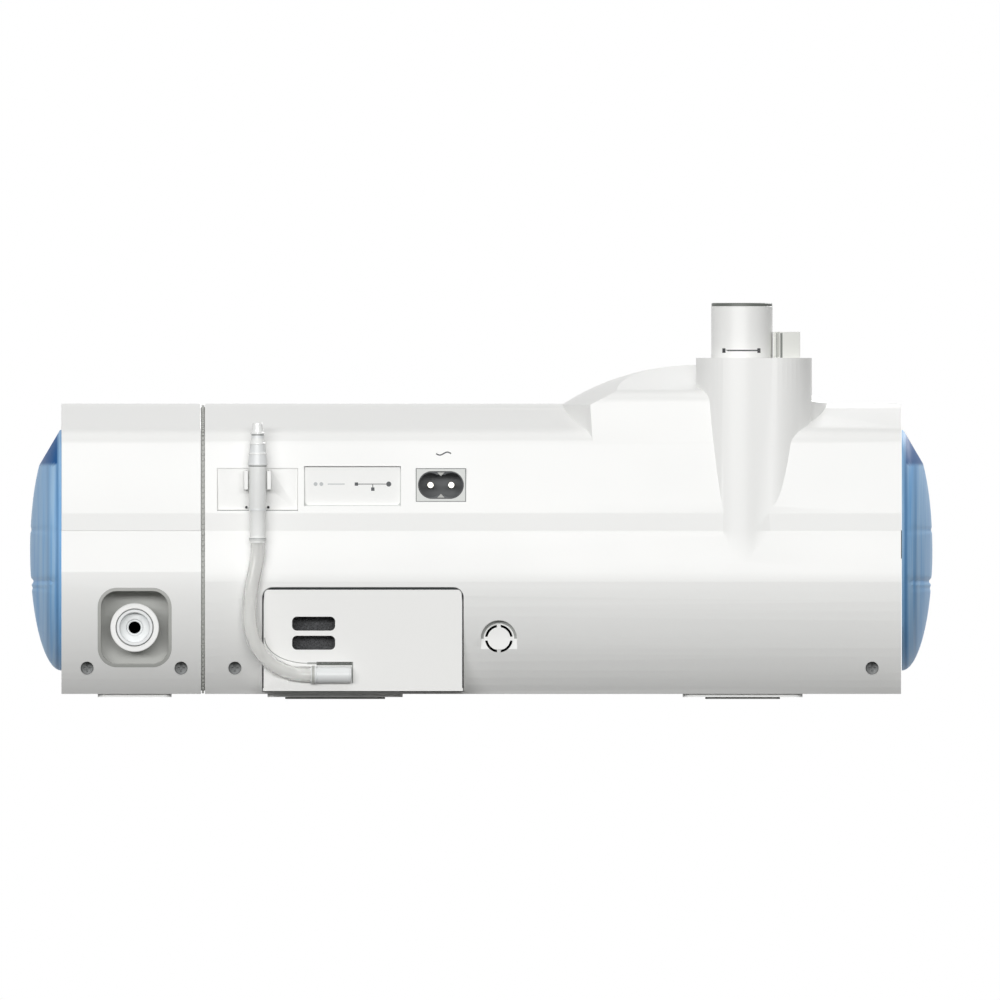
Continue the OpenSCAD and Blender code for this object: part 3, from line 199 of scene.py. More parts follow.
def tintedPolycarbonate(name, pale, middle, deep, clear, roughness):
    # Translucent moulding with painted highlight streaks 1.6 mm apart along the shell, and painted deep shade where the
    # piece's own deep-shade attribute says that the eye looks along the wall
    material, tree, shader, place = startMaterial(name)
    along = addNode(tree, "ShaderNodeMapping", {"Scale": (1 / 0.0016, 1 / 0.09, 1 / 0.06)}, {"Vector": place})
    highlightStreak = addNode(tree, "ShaderNodeTexNoise", {"Scale": 1.0, "Detail": 2.0}, {"Vector": along.outputs[0]})
    sharper = addNode(tree, "ShaderNodeMapRange", {"From Min": 0.3, "From Max": 0.7}, {"Value": highlightStreak.outputs["Fac"]})
    light = addNode(tree, "ShaderNodeMix", {"data_type": "RGBA", 6: hexColour(middle), 7: hexColour(pale)},
                    {0: sharper.outputs["Result"]})
    edge = addNode(tree, "ShaderNodeAttribute", {"attribute_name": "deepBluePaintedShade"})
    blend = addNode(tree, "ShaderNodeMix", {"data_type": "RGBA", 7: hexColour(deep)},
                    {0: edge.outputs["Fac"], 6: light.outputs[2]})
    setNode(tree, shader,
            {"Transmission Weight": clear, "Roughness": roughness, "IOR": 1.585, "Specular IOR Level": 0.08},
            {"Base Color": blend.outputs[2]})
    return material


def clearPlastic(name, colour, clear, roughness):
    # Flexible PVC or clear polycarbonate: see-through, with gloss that wanders over 4 mm
    material, tree, shader, place = startMaterial(name)
    haze = addNode(tree, "ShaderNodeTexNoise", {"Scale": 1 / 0.004, "Detail": 2.0}, {"Vector": place})
    gloss = addNode(tree, "ShaderNodeMapRange", {"To Min": roughness - 0.04, "To Max": roughness + 0.06},
                    {"Value": haze.outputs["Fac"]})
    setNode(tree, shader, {"Base Color": hexColour(colour), "Transmission Weight": clear, "IOR": 1.53},
            {"Roughness": gloss.outputs["Result"]})
    return material


def metalFinish(name, colour, roughness, lines, axis):
    # Bare metal with fine machining or plating lines across one axis
    material, tree, shader, place = startMaterial(name)
    stretch = [1 / 0.02] * 3
    stretch[axis] = 1 / lines
    drawn = addNode(tree, "ShaderNodeMapping", {"Scale": tuple(stretch)}, {"Vector": place})
    noise = addNode(tree, "ShaderNodeTexNoise", {"Scale": 1.0, "Detail": 3.0}, {"Vector": drawn.outputs[0]})
    grain = noise.outputs["Fac"]
    gloss = addNode(tree, "ShaderNodeMapRange", {"To Min": roughness - 0.08, "To Max": roughness + 0.1},
                    {"Value": grain})
    bump = addNode(tree, "ShaderNodeBump", {"Strength": 0.05, "Distance": 0.0001}, {"Height": grain})
    setNode(tree, shader, {"Base Color": hexColour(colour), "Metallic": 1.0},
            {"Roughness": gloss.outputs["Result"], "Normal": bump.outputs["Normal"]})
    return material


def softRubber(name, colour, roughness, grain):
    # Moulded rubber or silicone: matt, with a fine blasted skin drawn at 0.8 mm so that it shows
    material, tree, shader, place = startMaterial(name)
    skin = addNode(tree, "ShaderNodeTexNoise", {"Scale": 1 / grain, "Detail": 2.0}, {"Vector": place}).outputs["Fac"]
    bump = addNode(tree, "ShaderNodeBump", {"Strength": 0.08, "Distance": 0.0003}, {"Height": skin})
    gloss = addNode(tree, "ShaderNodeMapRange", {"To Min": roughness - 0.06, "To Max": roughness + 0.08},
                    {"Value": skin})
    setNode(tree, shader, {"Base Color": hexColour(colour)},
            {"Roughness": gloss.outputs["Result"], "Normal": bump.outputs["Normal"]})
    return material


def filterMedia(name, colour, hollow, cell):
    # Open-cell foam or felted fleece: cells or fibres with dark pores between them
    material, tree, shader, place = startMaterial(name)
    cells = addNode(tree, "ShaderNodeTexVoronoi", {"Scale": 1 / cell, "feature": "DISTANCE_TO_EDGE"}, {"Vector": place})
    wall = addNode(tree, "ShaderNodeMapRange", {"From Min": 0.02, "From Max": 0.3},
                   {"Value": cells.outputs["Distance"]})
    blend = addNode(tree, "ShaderNodeMix", {"data_type": "RGBA", 6: hexColour(colour), 7: hexColour(hollow)},
                    {0: wall.outputs["Result"]})
    bump = addNode(tree, "ShaderNodeBump", {"Strength": 0.8, "Distance": 0.0006, "invert": True},
                   {"Height": wall.outputs["Result"]})
    setNode(tree, shader, {"Roughness": 0.9}, {"Base Color": blend.outputs[2], "Normal": bump.outputs["Normal"]})
    return material


def circuitBoard(name):
    # Glass-epoxy board under green solder mask, with paler copper tracks drawn in a 9 mm pattern
    material, tree, shader, place = startMaterial(name)
    tracks = addNode(tree, "ShaderNodeTexBrick",
                     {"Scale": 1 / 0.009, "Mortar Size": 0.03, "Color1": hexColour("#1f6a3d"),
                      "Color2": hexColour("#1b5f38"), "Mortar": hexColour("#3f9a5c")}, {"Vector": place})
    setNode(tree, shader, {"Roughness": 0.35}, {"Base Color": tracks.outputs["Color"]})
    return material


finish = {
    "white_abs": mouldedPlastic("whiteSatinAbs", "#f3f3f1", 0.36),  # even and slightly warm
    "pale_abs": mouldedPlastic("paleSatinAbs", "#e9ebeb", 0.34, shade="#d2d6d7"),
    "pale_tpe": mouldedPlastic("softWhiteElastomer", "#f0f1ef", 0.55, relief=0.03),  # soft skin, less gloss
    "inner_abs": mouldedPlastic("plainInnerAbs", "#d5d7d6", 0.5, shade="#bfc3c3"),
    "grey_abs": mouldedPlastic("greyTexturedAbs", "#b4b5b1", 0.5, grain=0.0008, relief=0.12, shade="#a2a39f"),
    # pale and middle blues make painted highlight streaks, the deep blue painted shade along the wall
    "blue_pc": tintedPolycarbonate("blueTintedPolycarbonate", "#b4dcff", "#7dbcf4", "#015a9c", 0.0, 0.42),
    "window_glass": mouldedPlastic("hardCoatedDarkWindow", "#0b0f14", 0.12, relief=0.0, shade="#10151b"),
    "green_board": circuitBoard("maskedCircuitBoard"),
    "dark_nylon": mouldedPlastic("glassFilledNylon", "#26282b", 0.45, shade="#1c1e20", relief=0.08),
    "nickel_pins": metalFinish("nickelPlatedBrass", "#cdcabf", 0.28, 0.0006, 2),
    # matt grey, not metal: the steel screw heads darkened as painted shade of their deep recesses
    "steel_screws": mouldedPlastic("screwGreyAndRecessShade", "#8d8f8f", 0.6, grain=0.0004, relief=0.1, shade="#7c7e7e"),
    "aluminium_plate": metalFinish("turnedAluminium", "#d2d4d7", 0.34, 0.0005, 0),
    "grey_silicone": softRubber("greySilicone", "#b7bdc2", 0.6, 0.0008),
    "black_rubber": softRubber("mattBlackRubber", "#202124", 0.8, 0.0008),
    "grey_foam": filterMedia("openCellFoam", "#67686a", "#4c4d4e", 0.0009),
    "white_fleece": filterMedia("feltedFleece", "#e9e9e4", "#c2c4bf", 0.0012),
    "clear_pvc": clearPlastic("clearFlexiblePvc", "#fdfdfb", 0.62, 0.05),
    "clear_pc": clearPlastic("clearPolycarbonate", "#e4f0f7", 0.85, 0.08),
    "knob_grey": mouldedPlastic("satinGreyKnob", "#8b9298", 0.3, shade="#7b8288", coat=0.2),
    "milky_pp": mouldedPlastic("glossyWhitePolypropylene", "#f6f7f5", 0.2, relief=0.0, coat=0.3),  # polished tool
    "dark_inlet": mouldedPlastic("darkInletNylon", "#45484a", 0.5, grain=0.0008, relief=0.08, shade="#37393b"),
    "grey_feet": softRubber("greyFootRubber", "#9b9c99", 0.8, 0.0008),
    # cover's white brighter than the housing's: painted light on the cover's face
    "cover_lit_white": mouldedPlastic("coverAbsPaintedLight", "#fdfdfb", 0.36, shade="#f1f1ef"),
    "connector_grey": mouldedPlastic("connectorGreyPbt", "#d6d7d2", 0.45, shade="#c6c7c2"),
    "blue_button": mouldedPlastic("blueButtonCap", "#3f86c4", 0.3, shade="#3577b3", coat=0.2),
}
print("finishes ready:", len(finish))

# A moulded edge is never sharp: each of these is a merged copy of its CAD node with a small round on its edges, in mm
easedEdges = {
    "upper_housing": 0.7, "lower_housing": 0.5, "module_upper": 0.25, "module_lower": 0.2,
    "filter_cover": 0.45, "front_bezel": 0.6, "comms_flap": 0.35, "clip_plate": 0.3,
    "tube_connector": 0.4, "oxygen_nipple": 0.15, "hose_barb": 0.2, "recess_liner": 0.5, "gas_fitting": 0.25,
    "release_collar": 0.3, "c8_inlet": 0.3, "rubber_feet": 0.25, "knob": 0.6, "start_button": 0.4, "home_button": 0.4,
    "ramp_button": 0.4, "mute_button": 0.4, "display_window": 0.25, "shell_screws": 0.1,
    "tank_lid": 0.4, "tank_tub": 0.4, "tank_seal": 0.3, "gap_strip": 0.15, "heater_plate": 0.3, "tank_bay": 0.4,
}
easedLook = {"c8_inlet": "dark_inlet", "rubber_feet": "grey_feet", "filter_cover": "cover_lit_white",
             "comms_flap": "white_abs", "tube_connector": "connector_grey"}
leaningWall = {"z": 77, "y": 69.075, "slope": 0.08358}
ledge = {"x": (27, 114), "z": (90, 99)}  # where the block behind the sockets stands a hair proud of the wall


def wallY(z):
    # Depth of the leaning rear wall at a height, in mm
    return leaningWall["y"] - (z - leaningWall["z"]) * leaningWall["slope"]


def meshPoints(mesh):
    flat = np.empty(len(mesh.vertices) * 3, dtype=np.float32)
    mesh.vertices.foreach_get("co", flat)
    return flat.reshape(-1, 3).astype(float) / mm


def flattenLedge(work):
    # The few corners within the ledge's x and z that stand proud of the wall go back to y = wall(z)
    (left, right), (low, high) = ledge["x"], ledge["z"]
    for corner in work.verts:
        x, y, z = corner.co / mm
        if left < x < right and low < z < high and y > wallY(z):
            corner.co.y = wallY(z) * mm


def rework(mesh, change):
    work = bmesh.new()
    work.from_mesh(mesh)
    change(work)
    work.to_mesh(mesh)
    work.free()


def mergedCopy(node):
    # The node's triangles joined at their corners, with flat areas made whole faces again
    mesh = nodes[node].data.copy()

    def join(work):
        bmesh.ops.remove_doubles(work, verts=work.verts, dist=0.002 * mm)
        if node == "upper_housing":
            flattenLedge(work)
        bmesh.ops.dissolve_limit(work, angle_limit=math.radians(0.6), verts=work.verts, edges=work.edges)
    rework(mesh, join)
    return mesh


def addBevel(piece, width, angle):
    bevel = piece.modifiers.new("easedEdge", "BEVEL")
    bevel.width, bevel.segments, bevel.limit_method = width * mm, 2, "ANGLE"
    bevel.angle_limit = math.radians(angle)
    return bevel


def declare(piece, node, slotName, replace):
    if replace:
        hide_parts(node)
    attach(piece, nodeBody[node])


def easeEdges(node, width):
    mesh = mergedCopy(node)
    mesh.materials.clear()
    mesh.materials.append(finish[easedLook.get(node, nodeSlot[node])])
    piece = link(node + "_eased", mesh)
    addBevel(piece, width, 28).miter_outer = "MITER_ARC"
    mesh.shade_smooth()
    mesh.set_sharp_from_angle(angle=math.radians(7 if node == "upper_housing" else 24))
    declare(piece, node, nodeSlot[node], True)


for node, width in easedEdges.items():
    easeEdges(node, width)
for node, thing in nodes.items():
    for place in thing.material_slots:
        place.material = finish[nodeSlot[node]]
print("eased pieces:", len(easedEdges))


def makePiece(name, points, faces, node, slotName, replace=False, material=None, easing=0.0, sharp=30):
    # Points in mm; seams and poles are closed and the faces turned outwards
    mesh = bpy.data.meshes.new(name)
    mesh.from_pydata((np.asarray(points, dtype=float).reshape(-1, 3) * mm).tolist(), [], faces)

    def close(work):
        bmesh.ops.remove_doubles(work, verts=work.verts, dist=0.001 * mm)
        bmesh.ops.recalc_face_normals(work, faces=work.faces)
    rework(mesh, close)
    mesh.materials.append(material or finish[slotName])
    piece = link(name, mesh)
    mesh.shade_smooth()
    mesh.set_sharp_from_angle(angle=math.radians(sharp))
    if easing:
        addBevel(piece, easing, sharp)
    declare(piece, node, slotName, replace)
    return piece


def gridFaces(rows, columns, wrapRows=False, wrapColumns=True):
    # Quads between neighbouring points of a grid with rows x columns points
    r, c = np.meshgrid(np.arange(rows if wrapRows else rows - 1), np.arange(columns if wrapColumns else columns - 1),
                       indexing="ij")
    r2, c2 = (r + 1) % rows, (c + 1) % columns
    quads = np.stack([r * columns + c, r * columns + c2, r2 * columns + c2, r2 * columns + c], -1)
    return quads.reshape(-1, 4).tolist()


def addTurned(name, profile, centre, node, slotName, axis=(0, 0, 1), around=96, **looks):
    # Turned surface: point = centre + axis * height + radius * (side * cos a + up * sin a), for each (radius, height)
    profile = np.array(profile, dtype=float)
    axis = np.array(axis, dtype=float)
    side = np.cross(axis, [0.3, 0.5, 0.81] if abs(axis[2]) < 0.9 else [1, 0, 0])
    side = side / np.linalg.norm(side)
    up = np.cross(axis, side)
    angle = np.arange(around) * 2 * np.pi / around
    ring = np.cos(angle)[:, None] * side + np.sin(angle)[:, None] * up
    points = np.array(centre) + profile[:, 1, None, None] * axis + profile[:, 0, None, None] * ring[None]
    return makePiece(name, points, gridFaces(len(profile), around), node, slotName, **looks)


def smoothPath(knots, count):
    # Catmull-Rom curve through the knots, resampled to even steps along its length
    knots = np.array(knots, dtype=float)
    padded = np.vstack([2 * knots[0] - knots[1], knots, 2 * knots[-1] - knots[-2]])
    t = np.linspace(0, 1, 24, endpoint=False)[:, None]
    parts = [0.5 * (2 * b + (c - a) * t + (2 * a - 5 * b + 4 * c - d) * t ** 2 + (3 * b - a - 3 * c + d) * t ** 3)
             for a, b, c, d in zip(padded[:-3], padded[1:-2], padded[2:-1], padded[3:])]
    return evenSteps(np.vstack(parts + [knots[-1:]]), count=count)


def evenSteps(line, count=None, at=None):
    # Points of a line at even steps, or at the given distances along it
    run = np.concatenate([[0], np.cumsum(np.linalg.norm(np.diff(line, axis=0), axis=1))])
    at = np.linspace(0, run[-1], count) if at is None else at(run[-1])
    return np.stack([np.interp(at, run, line[:, k]) for k in range(line.shape[1])], -1)


def carried(section, path, startSide):
    # Section (across, up) carried along a path on a frame that never twists: point = path + u * across + v * up
    tangent = np.gradient(path, axis=0)
    tangent /= np.linalg.norm(tangent, axis=1)[:, None]
    side = np.array(startSide, dtype=float)
    sides = []
    for t in tangent:
        side = side - t * side.dot(t)
        side /= np.linalg.norm(side)
        sides.append(side)
    u = np.array(sides)
    v = np.cross(tangent, u)
    return path[:, None] + u[:, None] * section[None, :, 0, None] + v[:, None] * section[None, :, 1, None]


# Stepped oxygen nipple in its clip: four barbs, a barrel, and a thinner foot with a bead
nipple = {
    "x": 92.6, "y": 74.675, "tipZ": 114.3, "lowZ": 64.6, "bore": 1.5, "boreDeep": 6,
    "stepZ": (109.7, 105.4, 101.2, 96.9), "radii": (2.35, 2.95, 3.35, 3.75, 4.12),
    "barrelR": 3.6, "barrelZ": (95.4, 78.9), "footR": 3.15, "beadR": 3.5, "beadZ": (67.2, 65.4),
}


def nippleProfile():
    n = nipple
    bore, foot, bead = n["bore"], n["footR"], n["beadR"]
    line = [(bore, n["tipZ"] - n["boreDeep"]), (bore, n["tipZ"]), (n["radii"][0] - 0.35, n["tipZ"])]
    for step, low, high in zip(n["stepZ"], n["radii"][:-1], n["radii"][1:]):
        line += [(low + 0.05, step + 0.9), (high - 0.02, step + 0.55), (high, step), (high - 0.5, step - 0.15),
                 (high - 0.5, step - 0.7)]
    top, end = n["barrelZ"]
    line += [(n["barrelR"], top), (n["barrelR"], end), (n["barrelR"] - 0.25, end - 0.7), (foot, end - 1.1)]
    top, end = n["beadZ"]
    return line + [(foot, top), (bead, top - 0.3), (bead, end + 0.3), (foot, end), (foot, n["lowZ"]), (bore, n["lowZ"])]


addTurned("steppedNipple", nippleProfile(), (nipple["x"], nipple["y"], 0), "oxygen_nipple", "pale_abs", replace=True,
          material=finish["milky_pp"], easing=0.08)
print("nipple made")

# Clear hose from the nipple round to the barb on the filter cover: an open-ended wall on one smooth curve
hose = {
    "knots": [(92.6, 74.675, 64.6), (92.6, 74.675, 60), (93.6, 74.675, 54), (95, 74.675, 47), (95.8, 74.675, 40),
              (95.9, 74.675, 33.5), (95.1, 74.275, 27.5), (92.9, 72.975, 21.8), (89.2, 70.575, 16.8),
              (84.2, 68.275, 13), (78.4, 66.775, 10.8), (74, 66.275, 10), (70.4, 66.275, 10)],
    "outerR": 2.88, "innerR": 1.95, "rings": 90, "around": 28,
}


def addHose():
    h = hose
    path = smoothPath(h["knots"], h["rings"])
    angle = np.arange(h["around"]) * 2 * np.pi / h["around"]
    circle = np.stack([np.cos(angle), np.sin(angle)], -1)
    outside = carried(circle * h["outerR"], path, (1, 0, 0))
    inside = carried(circle * h["innerR"], path, (1, 0, 0))[::-1]
    points = np.vstack([outside, inside])
    makePiece("clearHose", points, gridFaces(len(points), h["around"], wrapRows=True), "oxygen_hose", "clear_pvc",
              replace=True)


addHose()

# Ferrule over the hose end, with a collar that the hose pushes up to and a grey band round it
ferrule = {"y": 66.275, "z": 10, "x": (54.0, 70.6), "bodyR": 3.3, "neckX": (67.6, 68.5), "neckR": 3.0, "collarR": 3.75,
           "hoseR": 3.52, "bore": 3.04, "bandX": (69.0, 70.2), "bandR": (3.65, 3.79)}


def addFerrule():
    f = ferrule
    end, mouth = f["x"]
    neck, shoulder = f["neckX"]
    body, collar, bore = f["bodyR"], f["collarR"], f["bore"]
    shell = [(bore, end + 0.6), (body - 0.5, end), (body, end + 0.5), (body, neck), (f["neckR"], neck + 0.2),
             (f["neckR"], shoulder), (collar, shoulder + 0.3), (collar, mouth - 0.3), (collar - 0.3, mouth),
             (f["hoseR"], mouth), (f["hoseR"], shoulder - 0.2), (bore, shoulder - 0.3), (bore, end + 0.6)]
    low, high = f["bandX"]
    inner, outer = f["bandR"]
    band = [(inner, low), (outer, low), (outer, high), (inner, high), (inner, low)]
    along = {"axis": (1, 0, 0), "around": 64}
    addTurned("hoseFerrule", shell, (0, f["y"], f["z"]), "hose_barb", "pale_abs", easing=0.06, **along)
    addTurned("ferruleBand", band, (0, f["y"], f["z"]), "hose_barb", "grey_abs", **along)


addFerrule()

# Outline of the housings seen from the side, in mm: (y, z, corner radius), clockwise from the rear foot
bodySide = [(71.175, 2.1, 0), (71.175, 52.6, 0), (69.075, 69.6, 0), (69.075, 77, 6), (66.275, 110.5, 8),
            (36.175, 122.5, 25), (-33.65, 119.5, 8), (-78.825, 38, 20), (-78.825, 22, 12), (-65.825, 2.1, 10)]
underRoll = {"y": 5.175, "z": 52.6, "r": 66.0}


def sideOutline(inset):
    # Each corner is a curve from tangent to tangent, (1 - t)^2 a + 2 t (1 - t) q + t^2 b, the rear foot is cut by the
    # under roll, and the whole line moves inwards by the inset
    corners = np.array(bodySide)
    roll = underRoll
    a = np.linspace(math.asin((roll["z"] - bodySide[0][1]) / roll["r"]), 0, 24)
    rolled = np.stack([roll["y"] + roll["r"] * np.cos(a), roll["z"] - roll["r"] * np.sin(a)], -1)
    t = np.linspace(0, 1, 8)[:, None]
    line = [rolled]
    for p, (*q, r), n in zip(corners[1:-1, :2], corners[2:], np.vstack([corners[3:, :2], rolled[:1]])):
        q = np.array(q)
        d1, d2 = (q - p) / np.linalg.norm(q - p), (n - q) / np.linalg.norm(n - q)
        turn = math.acos(np.clip(d1.dot(d2), -1, 1))
        run = r * math.tan(turn / 2)
        line.append((1 - t) ** 2 * (q - d1 * run) + 2 * t * (1 - t) * q + t ** 2 * (q + d2 * run) if r else q[None])
    line = np.vstack(line)
    ahead, behind = np.roll(line, -1, axis=0), np.roll(line, 1, axis=0)
    way = (ahead - behind) / np.linalg.norm(ahead - behind, axis=1)[:, None]
    return line + np.stack([-way[:, 1], way[:, 0]], -1) * inset


# Ribbed gasket in the gap between the main housing and the gas module
gasket = {"x": (114.75, 115.65), "inset": 0.6, "pitch": 2.2, "ribLength": 1.2, "ribDepth": 1.6, "taper": 0.7}


def addGasketRibs():
    # Ribs are small blocks at even steps along the outline: point = outline + along * u + inward * v
    g = gasket
    line = sideOutline(g["inset"])
    closed = np.vstack([line, line[:1]])
    at = evenSteps(closed, at=lambda end: np.arange(0, end - g["pitch"] / 2, g["pitch"]))
    ahead = evenSteps(closed, at=lambda end: np.arange(0, end - g["pitch"] / 2, g["pitch"]) + 0.3)
    way = (ahead - at) / np.linalg.norm(ahead - at, axis=1)[:, None]
    inward = np.stack([-way[:, 1], way[:, 0]], -1)
    half, deep = g["ribLength"] / 2, g["ribDepth"]
    corners = np.array([(-half, 0), (half, 0), (half * g["taper"], deep), (-half * g["taper"], deep)])
    yz = at[:, None] + way[:, None] * corners[None, :, :1] + inward[:, None] * corners[None, :, 1:]
    points = np.concatenate([np.concatenate([np.full(yz.shape[:2] + (1,), x), yz], -1) for x in g["x"]], 1)
    block = np.array([(3, 2, 1, 0), (4, 5, 6, 7), (0, 1, 5, 4), (1, 2, 6, 5), (2, 3, 7, 6), (3, 0, 4, 7)])
    faces = (block[None] + 8 * np.arange(len(points))[:, None, None]).reshape(-1, 4).tolist()
    makePiece("gasketRibs", points, faces, "gap_strip", "grey_abs", easing=0.12)


addGasketRibs()
print("hose, ferrule and gasket made")

# End domes: blue translucent shells with a flat at the top and three shallow grooves along them
domes = {
    "halfY": 58.0, "halfZ": 49.8, "z": 61.6, "rows": 110, "around": 220,
    "flatStart": 0.6, "flatSlope": 0.588,  # the flat leaves the rim 0.6 mm out and runs 0.588 mm out for each mm down
    "grooves": ((-12.8, 1.1, 1.0), (-15.6, 0.5, 0.7), (8.4, 0.45, 0.8)),  # height from the middle, depth, half width
    "wedgeZ": (96.4, 1.2), "wedgeOut": (1.3, 0.6),  # painted deep shade starts here, and is full this much further on
    "rings": ((0.55, 1.7, 0.7), (0.3, 5.6, 0.8)),  # share of painted deep shade, distance out, half width
}


def addDome(name, node, way):
    # Half ellipsoid: z = halfZ sin(p) sin(a), y = halfY sin(p) cos(a), x = out cos(p), held under the flat, less the
    # grooves; a flat disc closes the back
    d = domes
    box = np.array(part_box(node), dtype=float) / mm
    out = box[1, 0] - box[0, 0] - 0.02
    middle = np.array([box[0 if way > 0 else 1, 0], box[:, 1].mean(), d["z"]])
    p = np.linspace(0, np.pi / 2, d["rows"])[:, None]
    a = (np.arange(d["around"]) * 2 * np.pi / d["around"])[None]
    z = d["halfZ"] * np.sin(p) * np.sin(a)
    y = d["halfY"] * np.sin(p) * np.cos(a)
    flat = d["flatStart"] + (d["halfZ"] - z) * d["flatSlope"]
    x = np.minimum(out * np.cos(p) + 0 * a, np.maximum(flat, 0))
    for height, depth, half in d["grooves"]:
        x = np.maximum(x - depth * np.exp(-((z - height) / half) ** 2) * np.clip(x / 4, 0, 1), 0)
    shell = middle + np.stack([way * x, y, z], -1)
    disc = np.concatenate([middle + (shell[-1:] - middle) * share for share in (0.6, 0.2, 0.0)])
    disc[..., 0] = middle[0]
    points = np.concatenate([shell, disc])
    piece = makePiece(name, points, gridFaces(len(points), d["around"]), node, "blue_pc", replace=True, sharp=40)
    # Painted deep shade: a wedge under the flat and bands near the rim, kept in the piece's deep-shade attribute
    place = meshPoints(piece.data)
    bulge = (place[:, 0] - middle[0]) * way
    (lowZ, overZ), (lowOut, overOut) = d["wedgeZ"], d["wedgeOut"]
    wedge = np.clip((place[:, 2] - lowZ) / overZ, 0, 1) * np.clip((bulge - lowOut) / overOut, 0, 1)
    rings = sum(share * np.exp(-((bulge - at) / half) ** 2) for share, at, half in d["rings"])
    paintedDeepShade = piece.data.attributes.new("deepBluePaintedShade", "FLOAT", "POINT")
    paintedDeepShade.data.foreach_set("value", np.clip(np.maximum(wedge, rings), 0, 1).astype(np.float32))


addDome("moduleEndDome", "module_dome", 1)
addDome("tankEndDome", "tank_dome", -1)
print("domes made")

inkBlack = mouldedPlastic("padPrintedInk", "#3c3f42", 0.5, relief=0.0, shade="#4a4d50")  # slightly uneven
inkGrey = mouldedPlastic("palePadPrintedInk", "#b9bcbd", 0.5, relief=0.0, shade="#c6c8c9")
coverGapShadow = softRubber("coverGapShadowPaint", "#2a2c2d", 0.8, 0.0008)  # painted shadow of the gap round the filter cover
darkTrimAndRecessShade = mouldedPlastic("darkTrimRingAndRecessShade", "#5f635e", 0.45, shade="#52554f")  # grey co-moulded ring, also used as painted shade in the recess round the barb
grooveShade = mouldedPlastic("grooveShade", "#a3a5a2", 0.55, relief=0.0, shade="#8e908d")  # painted shade of a shallow groove
# grey of the flap's lip: painted shade along the flap's edges
flapEdgeShade = softRubber("flapEdgeShadeGrey", "#cfd2cf", 0.6, 0.0008)


def underY(z):
    # Depth of the rolled lower wall at a height, in mm
    return underRoll["y"] + np.sqrt(underRoll["r"] ** 2 - (underRoll["z"] - z) ** 2)


coverFace = {"z": 46, "y": 70.775, "slope": 0.18293}


def coverY(z):
    # Depth of the filter cover's flat, leaning face at a height, in mm
    return coverFace["y"] - (coverFace["z"] - z) * coverFace["slope"]


def laidOn(depth):
    # Flat points (x, z) laid on a face whose depth is a number or a function of the height: (x, depth(z) + lift, z)
    depthAt = depth if callable(depth) else lambda z: depth + 0 * z
    return lambda flat, lift: np.stack([flat[:, 0], depthAt(flat[:, 1]) + lift, flat[:, 1]], -1)


def addSlabs(name, outlines, lift, place, node, slotName, material=None, sunk=-0.05):
    # Each flat outline becomes a thin slab: its points just under the face and at the lift, with side walls between
    points, faces, start = [], [], 0
    for outline in outlines:
        outline = np.array(outline, dtype=float)
        count = len(outline)
        points += [place(outline, sunk), place(outline, lift)]
        ring = np.arange(count)
        after = (ring + 1) % count
        faces += [(start + ring[::-1]).tolist(), (start + count + ring).tolist()]
        faces += (start + np.stack([ring, after, count + after, count + ring], -1)).tolist()
        start += 2 * count
    return makePiece(name, np.concatenate(points), faces, node, slotName, material=material)


def circleOutline(x, z, r, count=24):
    a = np.arange(count) * 2 * np.pi / count
    return np.stack([x + r * np.cos(a), z + r * np.sin(a)], -1)


def ribbonOutline(line, width):
    # A line given its width: its points moved half the width to either side
    line = np.array(line, dtype=float)
    way = np.gradient(line, axis=0)
    way /= np.linalg.norm(way, axis=1)[:, None]
    across = np.stack([-way[:, 1], way[:, 0]], -1) * width / 2
    return np.vstack([line + across, (line - across)[::-1]])


def boxOutline(x0, x1, z0, z1):
    return [(x0, z0), (x1, z0), (x1, z1), (x0, z1)]


def squareOutline(x, z, side):
    return boxOutline(x - side / 2, x + side / 2, z - side / 2, z + side / 2)


# Alternating-current mark over the mains inlet: z = waveZ + waveHigh sin t; and plain marks on the flap
marks = {
    "waveX": 15.6, "waveZ": 101.6, "waveHalf": 3.1, "waveHigh": -0.6, "stroke": 0.55, "lift": 0.05, "flapY": 67.06,
    "plugX": 38.3, "plugZ": 89.0, "plugR": 1.05, "lineX": (39.4, 51.5), "lineHigh": 0.3, "squareSide": 1.4,
    "squares": ((51.7, 89.0), (44.9, 86.9)), "dropX": 44.9, "dropZ": (87.6, 88.9),
    "barX": (56.5, 63.6), "barHigh": 0.4, "dotX": (66.2, 68.6), "dotR": 0.8,
}


def addMarks():
    m = marks
    t = np.linspace(-1, 1, 25)
    wave = np.stack([m["waveX"] + m["waveHalf"] * t, m["waveZ"] + m["waveHigh"] * np.sin(np.pi * t)], -1)
    addSlabs("alternatingMark", [ribbonOutline(wave, m["stroke"])], m["lift"], laidOn(wallY), "upper_housing",
             "white_abs", inkBlack)
    z, half = m["plugZ"], m["lineHigh"] / 2
    dark = [circleOutline(m["plugX"], z, m["plugR"]), boxOutline(*m["lineX"], z - half, z + half)]
    dark += [squareOutline(*at, m["squareSide"]) for at in m["squares"]]
    dark.append(boxOutline(m["dropX"] - half, m["dropX"] + half, *m["dropZ"]))
    addSlabs("flapMark", dark, m["lift"], laidOn(m["flapY"]), "comms_flap", "pale_tpe", inkBlack)
    pale = [boxOutline(*m["barX"], z - m["barHigh"] / 2, z + m["barHigh"] / 2)]
    pale += [circleOutline(x, z, m["dotR"]) for x in m["dotX"]]
    addSlabs("flapPaleMark", pale, m["lift"], laidOn(m["flapY"]), "comms_flap", "pale_tpe", inkGrey)


addMarks()


